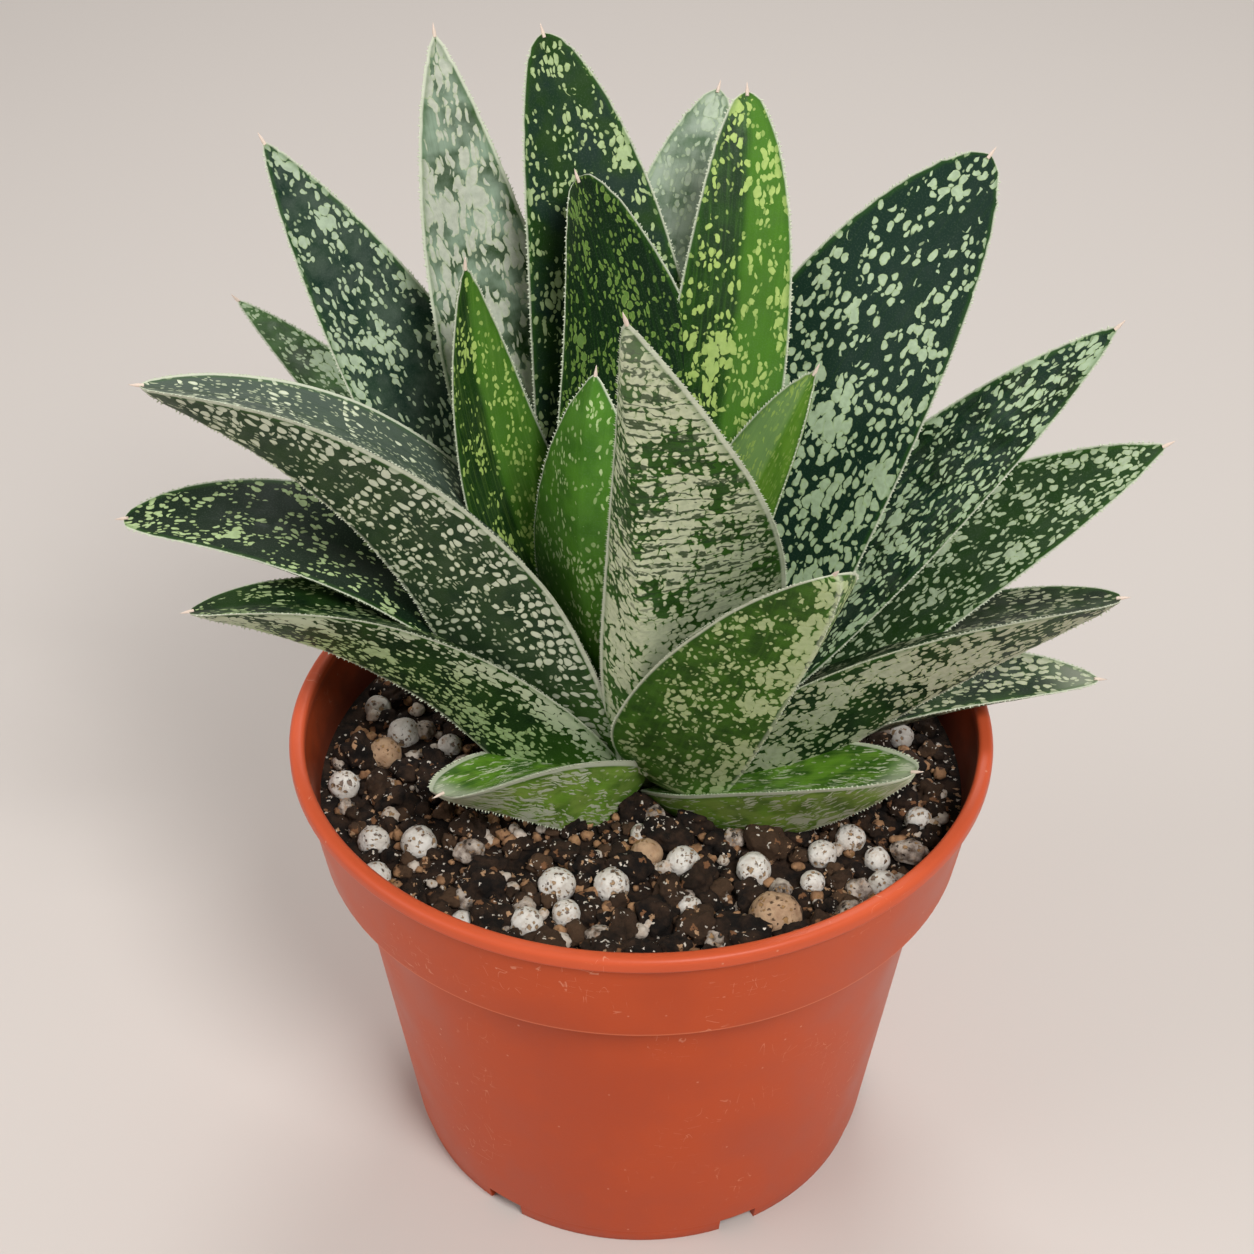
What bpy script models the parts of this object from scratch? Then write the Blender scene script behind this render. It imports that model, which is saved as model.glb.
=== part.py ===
"""A gasteraloe in a 12 cm nursery pot, with its soil, a short stem, the leaves and the stones on the soil.

Sizes are in millimetres and are turned into metres where a mesh is made. The pot stands on z = 0, and its
axis is the +Z axis.
"""
import math
from collections import namedtuple

import bmesh
import bpy
from mathutils import Matrix, Vector

MM = 0.001
OBJECT_NAME = "potted_gasteraloe"
GAP = 0.4                   # clearance between neighbouring solids
MERGE = 0.00001             # merge distance of modifiers, in metres

# Pot
POT_HEIGHT = 87.0
RIM_RADIUS = 60.0
RIM_LIP_HEIGHT = 2.6
LIP_INNER_BEVEL = 0.5
LIP_OUTER_BEVEL = 0.7
COLLAR_TOP_RADIUS = 58.6
COLLAR_BOTTOM_RADIUS = 56.0
COLLAR_BOTTOM = 67.0        # height where the collar ends and the wall steps in
COLLAR_BEVEL = 0.9
BODY_TOP_RADIUS = 51.2
BODY_TOP = 65.0
FOOT_RADIUS = 41.9
FOOT_HEIGHT = 3.3
FOOT_STEP = 0.4             # the foot ring stands this far inside the wall above it
FOOT_BEVEL = 0.3
WALL = 1.3
PLATE_UNDERSIDE = 3.7
POT_SEGMENTS = 48
NOTCH_COUNT = 6
NOTCH_WIDTH = 7.0
NOTCH_HEIGHT = 3.0
NOTCH_CUT_DEPTH = 8.0       # the notch cutters pass right through the foot ring
FIRST_NOTCH = 294.5         # heading of one notch, in degrees
DRAIN_COUNT = 8
DRAIN_RADIUS = 2.5
DRAIN_CIRCLE = 27.0
DRAIN_SEGMENTS = 12
DRAIN_CUT_DEPTH = 8.0

# Soil
SOIL_TOP = 76.0             # height at the stem
SOIL_EDGE = 75.0            # height at the pot's wall
SOIL_MIDDLE = 30.0          # radius of the ring of points between the stem and the wall
SIDE_GAP = 0.5              # clearance inside the sloping body wall, measured level
STEM_HOLE_BOTTOM = 56.0

# Stem
STEM_RADIUS = 5.5
STEM_TOP = 90.0
STEM_TAPER = 1.0
STEM_SHOULDER = 1.5         # height of the bevel round the stem's top
STEM_SEGMENTS = 20

# Leaves
LEAF_START = 6.0            # distance of a leaf's base from the stem's axis
CROWN_START = 2.0           # the same for the young leaves above the stem's top
LEAF_STATIONS = 11
LEAN_CURVE = 1.4            # above 1, a leaf bends more towards its tip
BASE_WIDTH = 0.7            # usual width at the base, as a share of the full width
BELLY = 0.3                 # where along its length a leaf is widest
CHANNEL = 0.08              # depth of the hollow upper face, as a share of the width
KEEL_POWER = 1.3            # 1 is a straight-sided keel, 2 a round back
THIN_FROM = 2.2             # higher keeps a leaf thick for more of its length
THIN_POWER = 0.8            # lower gives a fuller tip
THICK_LIMIT = 0.7           # a leaf is never thicker than this share of its width
GROUND_CUT_RADIUS = 54.0    # the cutter that trims leaves at the soil stays inside the pot's collar
GROUND_CUT_SEGMENTS = 32
CUT_BOTTOM = 40.0
BASE_GROWTH = 2.0           # a grown leaf starts this many times its growth behind its base,
TIP_GROWTH = 4.0            # and its tip ends this many times its growth beyond the point
ACROSS = (0.5, 0.0, -0.5)   # where the points between a leaf's two edges lie, as shares of its half width

LEAF_SIZES = "heading turn lean_base lean_tip length width thick roll height taper"
Leaf = namedtuple("Leaf", LEAF_SIZES + " twist keel base", defaults=(0, 0, BASE_WIDTH))

# Headings run anticlockwise from +X, and leans from the horizontal, in degrees.
# Turn is the change of heading towards the tip, roll twists the leaf about its midrib, height is
# where it leaves the stem, and taper is 1 for an even point and less for a blunt one. Twist adds to
# the roll towards the tip, keel sets the keel off the middle, as a share of the half width, and base is
# the width at the base, as a share of the full width.
# The list runs from the innermost leaf outwards.
LEAVES = {
    "leaf_27": Leaf(110, 0, 88, 84, 50, 15, 6, 0, 91, 0.8),
    "leaf_12": Leaf(240, 0, 70, 94, 70, 28, 8, 0, 92, 0.8),
    "leaf_11": Leaf(4, 0, 72, 62, 66, 26, 7, 15, 92, 0.8),
    "leaf_14": Leaf(80, 75, 88, 65, 91, 33, 9, 0, 89, 0.45),
    "leaf_13": Leaf(175, 0, 67, 88, 85, 24, 7, -30, 89, 0.8),
    "leaf_21": Leaf(38, 54, 80, 52, 104, 22, 9, 0, 88, 0.5),
    "leaf_10": Leaf(26, 0, 68, 46, 107, 40, 9, 25, 87, 0.6),
    "leaf_15": Leaf(95, 35, 80, 60, 113, 31, 9, 0, 87, 0.5),
    "leaf_02": Leaf(298, -67, 65, 61, 116, 28, 7, 0, 88, 0.8, keel=-0.6),
    "leaf_16": Leaf(149, -42, 71, 58, 117, 26, 9, 0, 86, 0.8),
    "leaf_22": Leaf(90, -25, 68, 45, 106, 29, 8, 0, 86, 0.6),
    "leaf_09": Leaf(6, 0, 50, 42, 100, 26, 9, 20, 85, 0.8),
    "leaf_17": Leaf(151, 0, 58, 52, 112, 28, 9, -20, 85, 0.8),
    "leaf_01": Leaf(194, -6, 80, 1, 112, 30, 21, 2, 84, 0.45, twist=14),
    "leaf_08": Leaf(2, 0, 43, 26, 96, 30, 8, 20, 83, 0.8),
    "leaf_03": Leaf(297, -3, 61, 43, 90, 28, 13, -4, 81, 0.5, keel=0.35, base=0.35),
    "leaf_18": Leaf(140, 0, 42, 14, 105, 20, 8, 0, 82, 0.8),
    "leaf_19": Leaf(177, 0, 58, -14, 96, 28, 14, -5, 82, 0.5),
    "leaf_06": Leaf(350, 0, 46, 6, 83, 26, 16, -18, 81, 0.4),
    "leaf_20": Leaf(190, 0, 60, -14, 83, 29, 15, 18, 80, 0.5),
    "leaf_23": Leaf(50, 0, 50, 15, 72, 26, 9, 0, 81, 0.8),
    "leaf_24": Leaf(115, 0, 50, 15, 74, 25, 9, 0, 81, 0.8),
    "leaf_25": Leaf(82, 0, 35, 5, 62, 24, 9, 0, 79, 0.8),
    "leaf_07": Leaf(2, 0, 26, -11, 75, 20, 11, 3, 79, 0.6),
    "leaf_05": Leaf(326, 3, 29, 17, 50, 24, 14, -10, 77, 0.5),
    "leaf_04": Leaf(221, 0, 37, -6, 40, 25, 13, 24, 80, 0.35),
    "leaf_26": Leaf(145, 0, 25, 0, 42, 22, 9, 0, 79, 0.8),
}

# Stones: heading in degrees, distance from the axis, radius
Stone = namedtuple("Stone", "heading distance radius")
STONE_SUNK = 0.4            # share of a stone's height that sits below the soil's surface
PUMICE = (
    Stone(270, 18.5, 1.9),
    Stone(285, 26.5, 2.8),
    Stone(304, 33, 3.0),
    Stone(261, 31.5, 3.0),
    Stone(246, 34, 3.0),
    Stone(252, 39.5, 2.4),
    Stone(245, 44, 2.8),
    Stone(234, 49, 2.2),
    Stone(282, 37, 2.1),
    Stone(322, 38, 2.5),
    Stone(331, 40, 2.5),
    Stone(313, 41, 2.0),
    Stone(322, 50, 2.6),
    Stone(328, 46, 2.2),
    Stone(343, 49, 2.3),
    Stone(204, 49, 2.7),
    Stone(209, 42.5, 3.0),
    Stone(213, 52, 2.4),
    Stone(186, 51.5, 2.7),
    Stone(168, 43, 2.8),
    Stone(161, 50, 2.4),
    Stone(171, 34, 2.2),
    Stone(10, 47, 2.2),
    Stone(42, 50, 2.7),
    Stone(75, 47, 2.8),
    Stone(112, 50, 2.6),
)
TAN_STONES = (
    Stone(299, 44, 4.2),
    Stone(272, 23.5, 2.6),
    Stone(176, 45, 3.0),
)

# Colours and roughness
TERRACOTTA = ((0.50, 0.085, 0.03, 1), 0.45)
PEAT = ((0.03, 0.018, 0.012, 1), 0.95)
STEM_GREEN = ((0.25, 0.35, 0.12, 1), 0.6)
LEAF_GREEN = ((0.05, 0.13, 0.06, 1), 0.4)
YOUNG_GREEN = ((0.10, 0.26, 0.05, 1), 0.4)
PUMICE_WHITE = ((0.72, 0.70, 0.66, 1), 0.9)
TAN = ((0.45, 0.31, 0.20, 1), 0.9)
YOUNG_LEAVES = ("leaf_11", "leaf_12", "leaf_13", "leaf_21", "leaf_27")


def clear_scene():
    for obj in list(bpy.data.objects):
        bpy.data.objects.remove(obj, do_unlink=True)


def new_collection(name):
    collection = bpy.data.collections.new(name)
    bpy.context.scene.collection.children.link(collection)
    return collection


def make_material(name, look):
    colour, roughness = look
    material = bpy.data.materials.new(name)
    material.use_nodes = True
    shader = material.node_tree.nodes["Principled BSDF"]
    shader.inputs["Base Color"].default_value = colour
    shader.inputs["Roughness"].default_value = roughness
    shader.inputs["Metallic"].default_value = 0.0
    return material


def add_object(name, bm, collection, material=None):
    mesh = bpy.data.meshes.new(name)
    bm.to_mesh(mesh)
    bm.free()
    obj = bpy.data.objects.new(name, mesh)
    collection.objects.link(obj)
    if material:
        mesh.materials.append(material)
    return obj


def shade_round(obj, sharp_degrees=40):
    obj.data.shade_smooth()
    obj.data.set_sharp_from_angle(angle=math.radians(sharp_degrees))


def hide_cutter(obj):
    obj.hide_render = True
    obj.display_type = "WIRE"


def add_boolean(obj, cutter, solver="EXACT"):
    modifier = obj.modifiers.new("cut", "BOOLEAN")
    modifier.operation = "DIFFERENCE"
    modifier.solver = solver
    modifier.object = cutter


def apply_modifiers(obj):
    """Replace the object's mesh with what its modifiers make of it."""
    evaluated = obj.evaluated_get(bpy.context.evaluated_depsgraph_get())
    mesh = bpy.data.meshes.new_from_object(evaluated)
    obj.modifiers.clear()
    obj.data = mesh


def turn_profile(name, profile, collection, material=None, segments=POT_SEGMENTS):
    """Turn a profile of (radius, height) points about the +Z axis."""
    bm = bmesh.new()
    verts = [bm.verts.new((radius * MM, 0, height * MM)) for radius, height in profile]
    for start, end in zip(verts, verts[1:]):
        bm.edges.new((start, end))
    obj = add_object(name, bm, collection, material)
    screw = obj.modifiers.new("turn", "SCREW")
    screw.axis = "Z"
    screw.steps = segments
    screw.render_steps = segments
    screw.use_merge_vertices = True
    screw.merge_threshold = MERGE
    screw.use_normal_calculate = False
    return obj


# ---- pot -----------------------------------------------------------------------------------------

def body_wall(height):
    """Outer radius of the pot's sloping body at a height."""
    return FOOT_RADIUS + (BODY_TOP_RADIUS - FOOT_RADIUS) * height / BODY_TOP


def pot_profile():
    lip_inner = RIM_RADIUS - 2 * WALL
    lip_bottom = POT_HEIGHT - RIM_LIP_HEIGHT
    plate_top = PLATE_UNDERSIDE + WALL
    above_foot = body_wall(FOOT_HEIGHT) + FOOT_STEP
    inside = [
        (0, plate_top),
        (body_wall(plate_top) - WALL, plate_top),
        (BODY_TOP_RADIUS - WALL, BODY_TOP + WALL),
        (COLLAR_BOTTOM_RADIUS - WALL, COLLAR_BOTTOM + WALL),
        (lip_inner, lip_bottom),
        (lip_inner, POT_HEIGHT - LIP_INNER_BEVEL),
        (lip_inner + LIP_INNER_BEVEL, POT_HEIGHT),
    ]
    outside = [
        (RIM_RADIUS - LIP_OUTER_BEVEL, POT_HEIGHT),
        (RIM_RADIUS, POT_HEIGHT - LIP_OUTER_BEVEL),
        (RIM_RADIUS, lip_bottom + LIP_INNER_BEVEL),
        (COLLAR_TOP_RADIUS, lip_bottom),
        (COLLAR_BOTTOM_RADIUS, COLLAR_BOTTOM),
        (COLLAR_BOTTOM_RADIUS - COLLAR_BEVEL, COLLAR_BOTTOM - COLLAR_BEVEL),
        (BODY_TOP_RADIUS, BODY_TOP),
        (above_foot, FOOT_HEIGHT + FOOT_BEVEL),
        (above_foot - FOOT_STEP, FOOT_HEIGHT),
        (FOOT_RADIUS, 0),
    ]
    underside = [
        (FOOT_RADIUS - WALL, 0),
        (FOOT_RADIUS - WALL, PLATE_UNDERSIDE),
        (0, PLATE_UNDERSIDE),
    ]
    return inside + outside + underside


def make_pot_cutters(collection):
    """Notches through the foot ring, and the drain holes in the plate."""
    cutters = []
    for index in range(NOTCH_COUNT):
        heading = math.radians(FIRST_NOTCH + index * 360 / NOTCH_COUNT)
        bm = bmesh.new()
        bmesh.ops.create_cube(bm, size=1)
        notch = add_object(f"notch_cutter_{index + 1}", bm, collection)
        notch.data.transform(scale_matrix(NOTCH_CUT_DEPTH, NOTCH_WIDTH, 2 * NOTCH_HEIGHT))
        notch.location = Vector((math.cos(heading), math.sin(heading), 0)) * (FOOT_RADIUS - WALL / 2) * MM
        notch.rotation_euler = (0, 0, heading)
        cutters.append(notch)
    for index in range(DRAIN_COUNT):
        heading = math.radians(index * 360 / DRAIN_COUNT)
        bm = bmesh.new()
        bmesh.ops.create_cone(bm, cap_ends=True, segments=DRAIN_SEGMENTS, radius1=DRAIN_RADIUS * MM,
                              radius2=DRAIN_RADIUS * MM, depth=DRAIN_CUT_DEPTH * MM)
        drain = add_object(f"drain_cutter_{index + 1}", bm, collection)
        drain.location = Vector((math.cos(heading) * DRAIN_CIRCLE, math.sin(heading) * DRAIN_CIRCLE,
                                 PLATE_UNDERSIDE + WALL / 2)) * MM
        cutters.append(drain)
    return cutters


def scale_matrix(x, y, z):
    return Matrix.Diagonal((x * MM, y * MM, z * MM, 1))


def make_pot(parts, cutters):
    pot = turn_profile("pot", pot_profile(), parts, make_material("terracotta_plastic", TERRACOTTA))
    for cutter in make_pot_cutters(cutters):
        hide_cutter(cutter)
        add_boolean(pot, cutter)
    shade_round(pot)
    return pot


# ---- soil and stem -------------------------------------------------------------------------------

def soil_height(distance):
    """Height of the soil's surface at a distance from the axis."""
    return SOIL_TOP + (SOIL_EDGE - SOIL_TOP) * min(distance / COLLAR_BOTTOM_RADIUS, 1)


def wall_radius(height):
    """Inner radius of the pot's collar at a height."""
    low = (COLLAR_BOTTOM + WALL, COLLAR_BOTTOM_RADIUS - WALL)
    high = (POT_HEIGHT - RIM_LIP_HEIGHT, RIM_RADIUS - 2 * WALL)
    share = (height - low[0]) / (high[0] - low[0])
    return low[1] + share * (high[1] - low[1])


def soil_profile():
    plate_top = PLATE_UNDERSIDE + WALL
    hole = STEM_RADIUS + GAP
    return [
        (0, STEM_HOLE_BOTTOM),
        (hole, STEM_HOLE_BOTTOM),
        (hole, SOIL_TOP),
        (SOIL_MIDDLE, soil_height(SOIL_MIDDLE)),
        (wall_radius(SOIL_EDGE) - GAP, SOIL_EDGE),
        (COLLAR_BOTTOM_RADIUS - WALL - GAP, COLLAR_BOTTOM + WALL),
        (BODY_TOP_RADIUS - WALL - SIDE_GAP, BODY_TOP + WALL),
        (body_wall(plate_top) - WALL - SIDE_GAP, plate_top + GAP),
        (0, plate_top + GAP),
    ]


def make_soil(parts, stone_cutters):
    soil = turn_profile("soil", soil_profile(), parts, make_material("peat_mix", PEAT))
    for cutter in stone_cutters:
        add_boolean(soil, cutter)
    shade_round(soil)
    return soil


def make_stem(parts):
    bottom = STEM_HOLE_BOTTOM + GAP
    profile = [
        (0, STEM_TOP),
        (STEM_RADIUS - 2 * STEM_TAPER, STEM_TOP),
        (STEM_RADIUS - STEM_TAPER, STEM_TOP - STEM_SHOULDER),
        (STEM_RADIUS, SOIL_TOP),
        (STEM_RADIUS, bottom + STEM_TAPER),
        (STEM_RADIUS - STEM_TAPER, bottom),
        (0, bottom),
    ]
    material = make_material("stem_green", STEM_GREEN)
    stem = turn_profile("stem", profile, parts, material, segments=STEM_SEGMENTS)
    shade_round(stem)
    return stem


# ---- leaves --------------------------------------------------------------------------------------

def leaf_width(leaf, along):
    if along < BELLY:
        share = leaf.base + (1 - leaf.base) * math.sin(math.pi / 2 * along / BELLY)
    else:
        share = max(1 - ((along - BELLY) / (1 - BELLY)) ** 2, 0) ** leaf.taper
    return leaf.width * share


def leaf_thickness(leaf, along):
    tapered = leaf.thick * max(1 - along ** THIN_FROM, 0) ** THIN_POWER
    return min(tapered, THICK_LIMIT * leaf_width(leaf, along))


def leaf_stations(leaf, count):
    """Follow the midrib and give, at each station, its place, sideways and upward directions."""
    stations = []
    step = leaf.length / (count - 1)
    start = math.radians(leaf.heading)
    distance = LEAF_START if leaf.height < STEM_TOP else CROWN_START
    place = Vector((distance * math.cos(start), distance * math.sin(start), leaf.height))
    last = None
    for index in range(count):
        along = index / (count - 1)
        lean = math.radians(leaf.lean_base + (leaf.lean_tip - leaf.lean_base) * along ** LEAN_CURVE)
        heading = math.radians(leaf.heading + leaf.turn * along)
        flat = math.cos(lean)
        forward = Vector((flat * math.cos(heading), flat * math.sin(heading), math.sin(lean)))
        if last:
            place = place + (last + forward) * step / 2
        last = forward
        level = Vector((-math.sin(heading), math.cos(heading), 0))
        face = forward.cross(level)
        roll = math.radians(leaf.roll + leaf.twist * along)
        sideways = level * math.cos(roll) + face * math.sin(roll)
        upward = face * math.cos(roll) - level * math.sin(roll)
        stations.append((along, place.copy(), sideways, upward))
    return stations


def leaf_section(leaf, along, grow):
    """Points (sideways, upward) round a leaf: its channelled face, then its keeled back.

    A leaf's edges are sharp. A grown section has square edges, so that it clears the sharp ones.
    """
    half = leaf_width(leaf, along) / 2
    thick = leaf_thickness(leaf, along)
    hollow = CHANNEL * 2 * half
    reach = half + grow
    edge = (grow, -grow) if grow else (0,)
    face = [(u * half, grow - hollow * (1 - u * u)) for u in ACROSS]
    back = []
    for u in reversed(ACROSS):
        depth = thick * (1 - abs(u) ** KEEL_POWER)
        shift = leaf.keel * half * (1 - abs(u))
        back.append((u * half + shift, -grow - depth))
    return [(reach, up) for up in reversed(edge)] + face + [(-reach, up) for up in edge] + back


def make_leaf_mesh(name, leaf, collection, material=None, grow=0.0):
    """Loft a leaf; grow makes it that much larger all round, for use as a cutter."""
    bm = bmesh.new()
    rings = []
    stations = leaf_stations(leaf, LEAF_STATIONS)
    for along, place, sideways, upward in stations[:-1]:
        if along == 0:
            place = place - sideways.cross(upward) * grow * BASE_GROWTH
        ring = [bm.verts.new((place + sideways * across + upward * up) * MM)
                for across, up in leaf_section(leaf, along, grow)]
        rings.append(ring)
    tip_place = stations[-1][1]
    last_place = stations[-2][1]
    outward = (tip_place - last_place).normalized()
    tip = bm.verts.new((tip_place + outward * grow * TIP_GROWTH) * MM)
    count = len(rings[0])
    for lower, upper in zip(rings, rings[1:]):
        for index in range(count):
            following = (index + 1) % count
            bm.faces.new((lower[index], lower[following], upper[following]))
            bm.faces.new((lower[index], upper[following], upper[index]))
    for index in range(count):
        bm.faces.new((rings[-1][index], rings[-1][(index + 1) % count], tip))
    bm.faces.new(rings[0][::-1])
    bmesh.ops.recalc_face_normals(bm, faces=bm.faces)
    return add_object(name, bm, collection, material)


def keep_largest_piece(obj):
    """Delete the small offcuts that the cuts leave, so that one closed body stays."""
    bm = bmesh.new()
    bm.from_mesh(obj.data)
    unseen = set(bm.verts)
    pieces = []
    while unseen:
        stack = [unseen.pop()]
        piece = set(stack)
        while stack:
            for edge in stack.pop().link_edges:
                for vert in edge.verts:
                    if vert in unseen:
                        unseen.discard(vert)
                        piece.add(vert)
                        stack.append(vert)
        pieces.append(piece)
    largest = max(pieces, key=piece_span)
    spare = [vert for piece in pieces if piece is not largest for vert in piece]
    bmesh.ops.delete(bm, geom=spare, context="VERTS")
    bm.to_mesh(obj.data)
    bm.free()


def piece_span(piece):
    lows = [min(vert.co[axis] for vert in piece) for axis in range(3)]
    highs = [max(vert.co[axis] for vert in piece) for axis in range(3)]
    return sum(high - low for low, high in zip(lows, highs))


def make_trimmer(name, radius, top, collection, segments):
    """A solid cylinder about the +Z axis, from CUT_BOTTOM up to a height."""
    profile = [(0, top), (radius, top), (radius, CUT_BOTTOM), (0, CUT_BOTTOM)]
    return turn_profile(name, profile, collection, segments=segments)


def make_leaves(parts, cutters):
    """Make the leaves from the inside out, each cut clear of the stem, the soil and the leaves inside it."""
    green = make_material("leaf_green", LEAF_GREEN)
    young = make_material("young_leaf_green", YOUNG_GREEN)
    ground = make_trimmer("ground_cutter", GROUND_CUT_RADIUS, SOIL_TOP + GAP, cutters, GROUND_CUT_SEGMENTS)
    core = make_trimmer("core_cutter", STEM_RADIUS + GAP, STEM_TOP + GAP, cutters, STEM_SEGMENTS)
    made = [ground, core]
    for name, leaf in LEAVES.items():
        material = young if name in YOUNG_LEAVES else green
        obj = make_leaf_mesh(name, leaf, parts, material)
        for cutter in made:
            add_boolean(obj, cutter, solver="MANIFOLD")
        apply_modifiers(obj)
        keep_largest_piece(obj)
        shade_round(obj)
        made.append(make_leaf_mesh(name + "_cutter", leaf, cutters, grow=GAP))
    for cutter in made:
        hide_cutter(cutter)


# ---- stones --------------------------------------------------------------------------------------

def stone_place(stone):
    heading = math.radians(stone.heading)
    height = soil_height(stone.distance) + stone.radius * (1 - 2 * STONE_SUNK)
    return Vector((stone.distance * math.cos(heading), stone.distance * math.sin(heading), height)) * MM


def make_ball(name, stone, collection, material=None, grow=0.0):
    bm = bmesh.new()
    bmesh.ops.create_icosphere(bm, subdivisions=2, radius=(stone.radius + grow) * MM)
    ball = add_object(name, bm, collection, material)
    ball.location = stone_place(stone)
    return ball


def make_stones(parts, cutters):
    """Make the stones, and give back the cutters for the dimples that they sit in."""
    looks = (("pumice", PUMICE, make_material("pumice_white", PUMICE_WHITE)),
             ("tan_stone", TAN_STONES, make_material("tan_stone", TAN)))
    dimples = []
    for kind, stones, material in looks:
        for index, stone in enumerate(stones, start=1):
            ball = make_ball(f"{kind}_{index:02d}", stone, parts, material)
            ball.data.shade_smooth()
            dimple = make_ball(f"{kind}_{index:02d}_cutter", stone, cutters, grow=GAP)
            hide_cutter(dimple)
            dimples.append(dimple)
    return dimples


def main():
    clear_scene()
    parts = new_collection(OBJECT_NAME)
    cutters = new_collection("cutters")
    make_pot(parts, cutters)
    dimples = make_stones(parts, cutters)
    make_soil(parts, dimples)
    make_stem(parts)
    make_leaves(parts, cutters)


main()
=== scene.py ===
import math
import random
from collections import namedtuple

import bmesh
import bpy
from mathutils import Matrix, Vector, noise


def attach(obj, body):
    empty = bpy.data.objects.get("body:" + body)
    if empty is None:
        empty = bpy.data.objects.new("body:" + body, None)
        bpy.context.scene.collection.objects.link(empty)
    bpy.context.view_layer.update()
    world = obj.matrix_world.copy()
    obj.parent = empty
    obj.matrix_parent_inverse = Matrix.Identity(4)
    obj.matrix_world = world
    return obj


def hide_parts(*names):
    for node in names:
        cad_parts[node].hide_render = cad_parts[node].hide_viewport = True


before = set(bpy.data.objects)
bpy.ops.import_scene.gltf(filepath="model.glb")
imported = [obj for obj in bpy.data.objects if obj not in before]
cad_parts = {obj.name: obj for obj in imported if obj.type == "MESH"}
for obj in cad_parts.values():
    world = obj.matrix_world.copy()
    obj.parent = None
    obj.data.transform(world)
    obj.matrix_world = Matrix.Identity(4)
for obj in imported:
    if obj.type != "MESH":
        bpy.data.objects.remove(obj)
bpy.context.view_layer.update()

MM = 0.001

# ---- sizes that repeat the CAD part's, in millimetres ----
POT_HEIGHT = 87.0
RIM_RADIUS = 60.0
LIP_HEIGHT = 2.6
COLLAR_TOP_RADIUS = 58.6
COLLAR_RADIUS = 56.0
COLLAR_BOTTOM = 67.0
BODY_TOP_RADIUS = 51.2
BODY_TOP = 65.0
FOOT_RADIUS = 41.9
FOOT_HEIGHT = 3.3
FOOT_STEP = 0.4
WALL = 1.3
PLATE_BOTTOM = 3.7
NOTCH_COUNT = 6
NOTCH_WIDTH = 7.0
NOTCH_HEIGHT = 3.0
FIRST_NOTCH = 294.5
DRAIN_COUNT = 8
DRAIN_RADIUS = 2.5
DRAIN_CIRCLE = 27.0
SOIL_TOP = 76.0
SOIL_EDGE = 75.0
STEM_TOP = 90.0
LEAF_START = 6.0
CROWN_START = 2.0
LEAN_CURVE = 1.4
BASE_WIDTH = 0.7
BELLY = 0.3
CHANNEL = 0.08
KEEL_POWER = 1.3
THIN_FROM = 2.2
THIN_POWER = 0.8
THICK_LIMIT = 0.7
STONE_SUNK = 0.4

# turn and twist add to a leaf's heading and roll towards its tip, and lean is how steeply it rises. taper
# is how pointed it is, keel how far its keel lies aside, and base how wide its base is.
LEAF_SIZES = "heading turn lean_base lean_tip length width thick roll height taper"
Leaf = namedtuple("Leaf", LEAF_SIZES + " twist keel base", defaults=(0, 0, BASE_WIDTH))
LEAVES = {
    "leaf_27": Leaf(110, 0, 88, 84, 50, 15, 6, 0, 91, 0.8),
    "leaf_12": Leaf(240, 0, 70, 94, 70, 28, 8, 0, 92, 0.8),
    "leaf_11": Leaf(4, 0, 72, 62, 66, 26, 7, 15, 92, 0.8),
    "leaf_14": Leaf(80, 75, 88, 65, 91, 33, 9, 0, 89, 0.45),
    "leaf_13": Leaf(175, 0, 67, 88, 85, 24, 7, -30, 89, 0.8),
    "leaf_21": Leaf(38, 54, 80, 52, 104, 22, 9, 0, 88, 0.5),
    "leaf_10": Leaf(26, 0, 68, 46, 107, 40, 9, 25, 87, 0.6),
    "leaf_15": Leaf(95, 35, 80, 60, 113, 31, 9, 0, 87, 0.5),
    "leaf_02": Leaf(298, -67, 65, 61, 116, 28, 7, 0, 88, 0.8, keel=-0.6),
    "leaf_16": Leaf(149, -42, 71, 58, 117, 26, 9, 0, 86, 0.8),
    "leaf_22": Leaf(90, -25, 68, 45, 106, 29, 8, 0, 86, 0.6),
    "leaf_09": Leaf(6, 0, 50, 42, 100, 26, 9, 20, 85, 0.8),
    "leaf_17": Leaf(151, 0, 58, 52, 112, 28, 9, -20, 85, 0.8),
    "leaf_01": Leaf(194, -6, 80, 1, 112, 30, 21, 2, 84, 0.45, twist=14),
    "leaf_08": Leaf(2, 0, 43, 26, 96, 30, 8, 20, 83, 0.8),
    "leaf_03": Leaf(297, -3, 61, 43, 90, 28, 13, -4, 81, 0.5, keel=0.35, base=0.35),
    "leaf_18": Leaf(140, 0, 42, 14, 105, 20, 8, 0, 82, 0.8),
    "leaf_19": Leaf(177, 0, 58, -14, 96, 28, 14, -5, 82, 0.5),
    "leaf_06": Leaf(350, 0, 46, 6, 83, 26, 16, -18, 81, 0.4),
    "leaf_20": Leaf(190, 0, 60, -14, 83, 29, 15, 18, 80, 0.5),
    "leaf_23": Leaf(50, 0, 50, 15, 72, 26, 9, 0, 81, 0.8),
    "leaf_24": Leaf(115, 0, 50, 15, 74, 25, 9, 0, 81, 0.8),
    "leaf_25": Leaf(82, 0, 35, 5, 62, 24, 9, 0, 79, 0.8),
    "leaf_07": Leaf(2, 0, 26, -11, 75, 20, 11, 3, 79, 0.6),
    "leaf_05": Leaf(326, 3, 29, 17, 50, 24, 14, -10, 77, 0.5),
    "leaf_04": Leaf(221, 0, 37, -6, 40, 25, 13, 24, 80, 0.35),
    "leaf_26": Leaf(145, 0, 25, 0, 42, 22, 9, 0, 79, 0.8),
}
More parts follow.
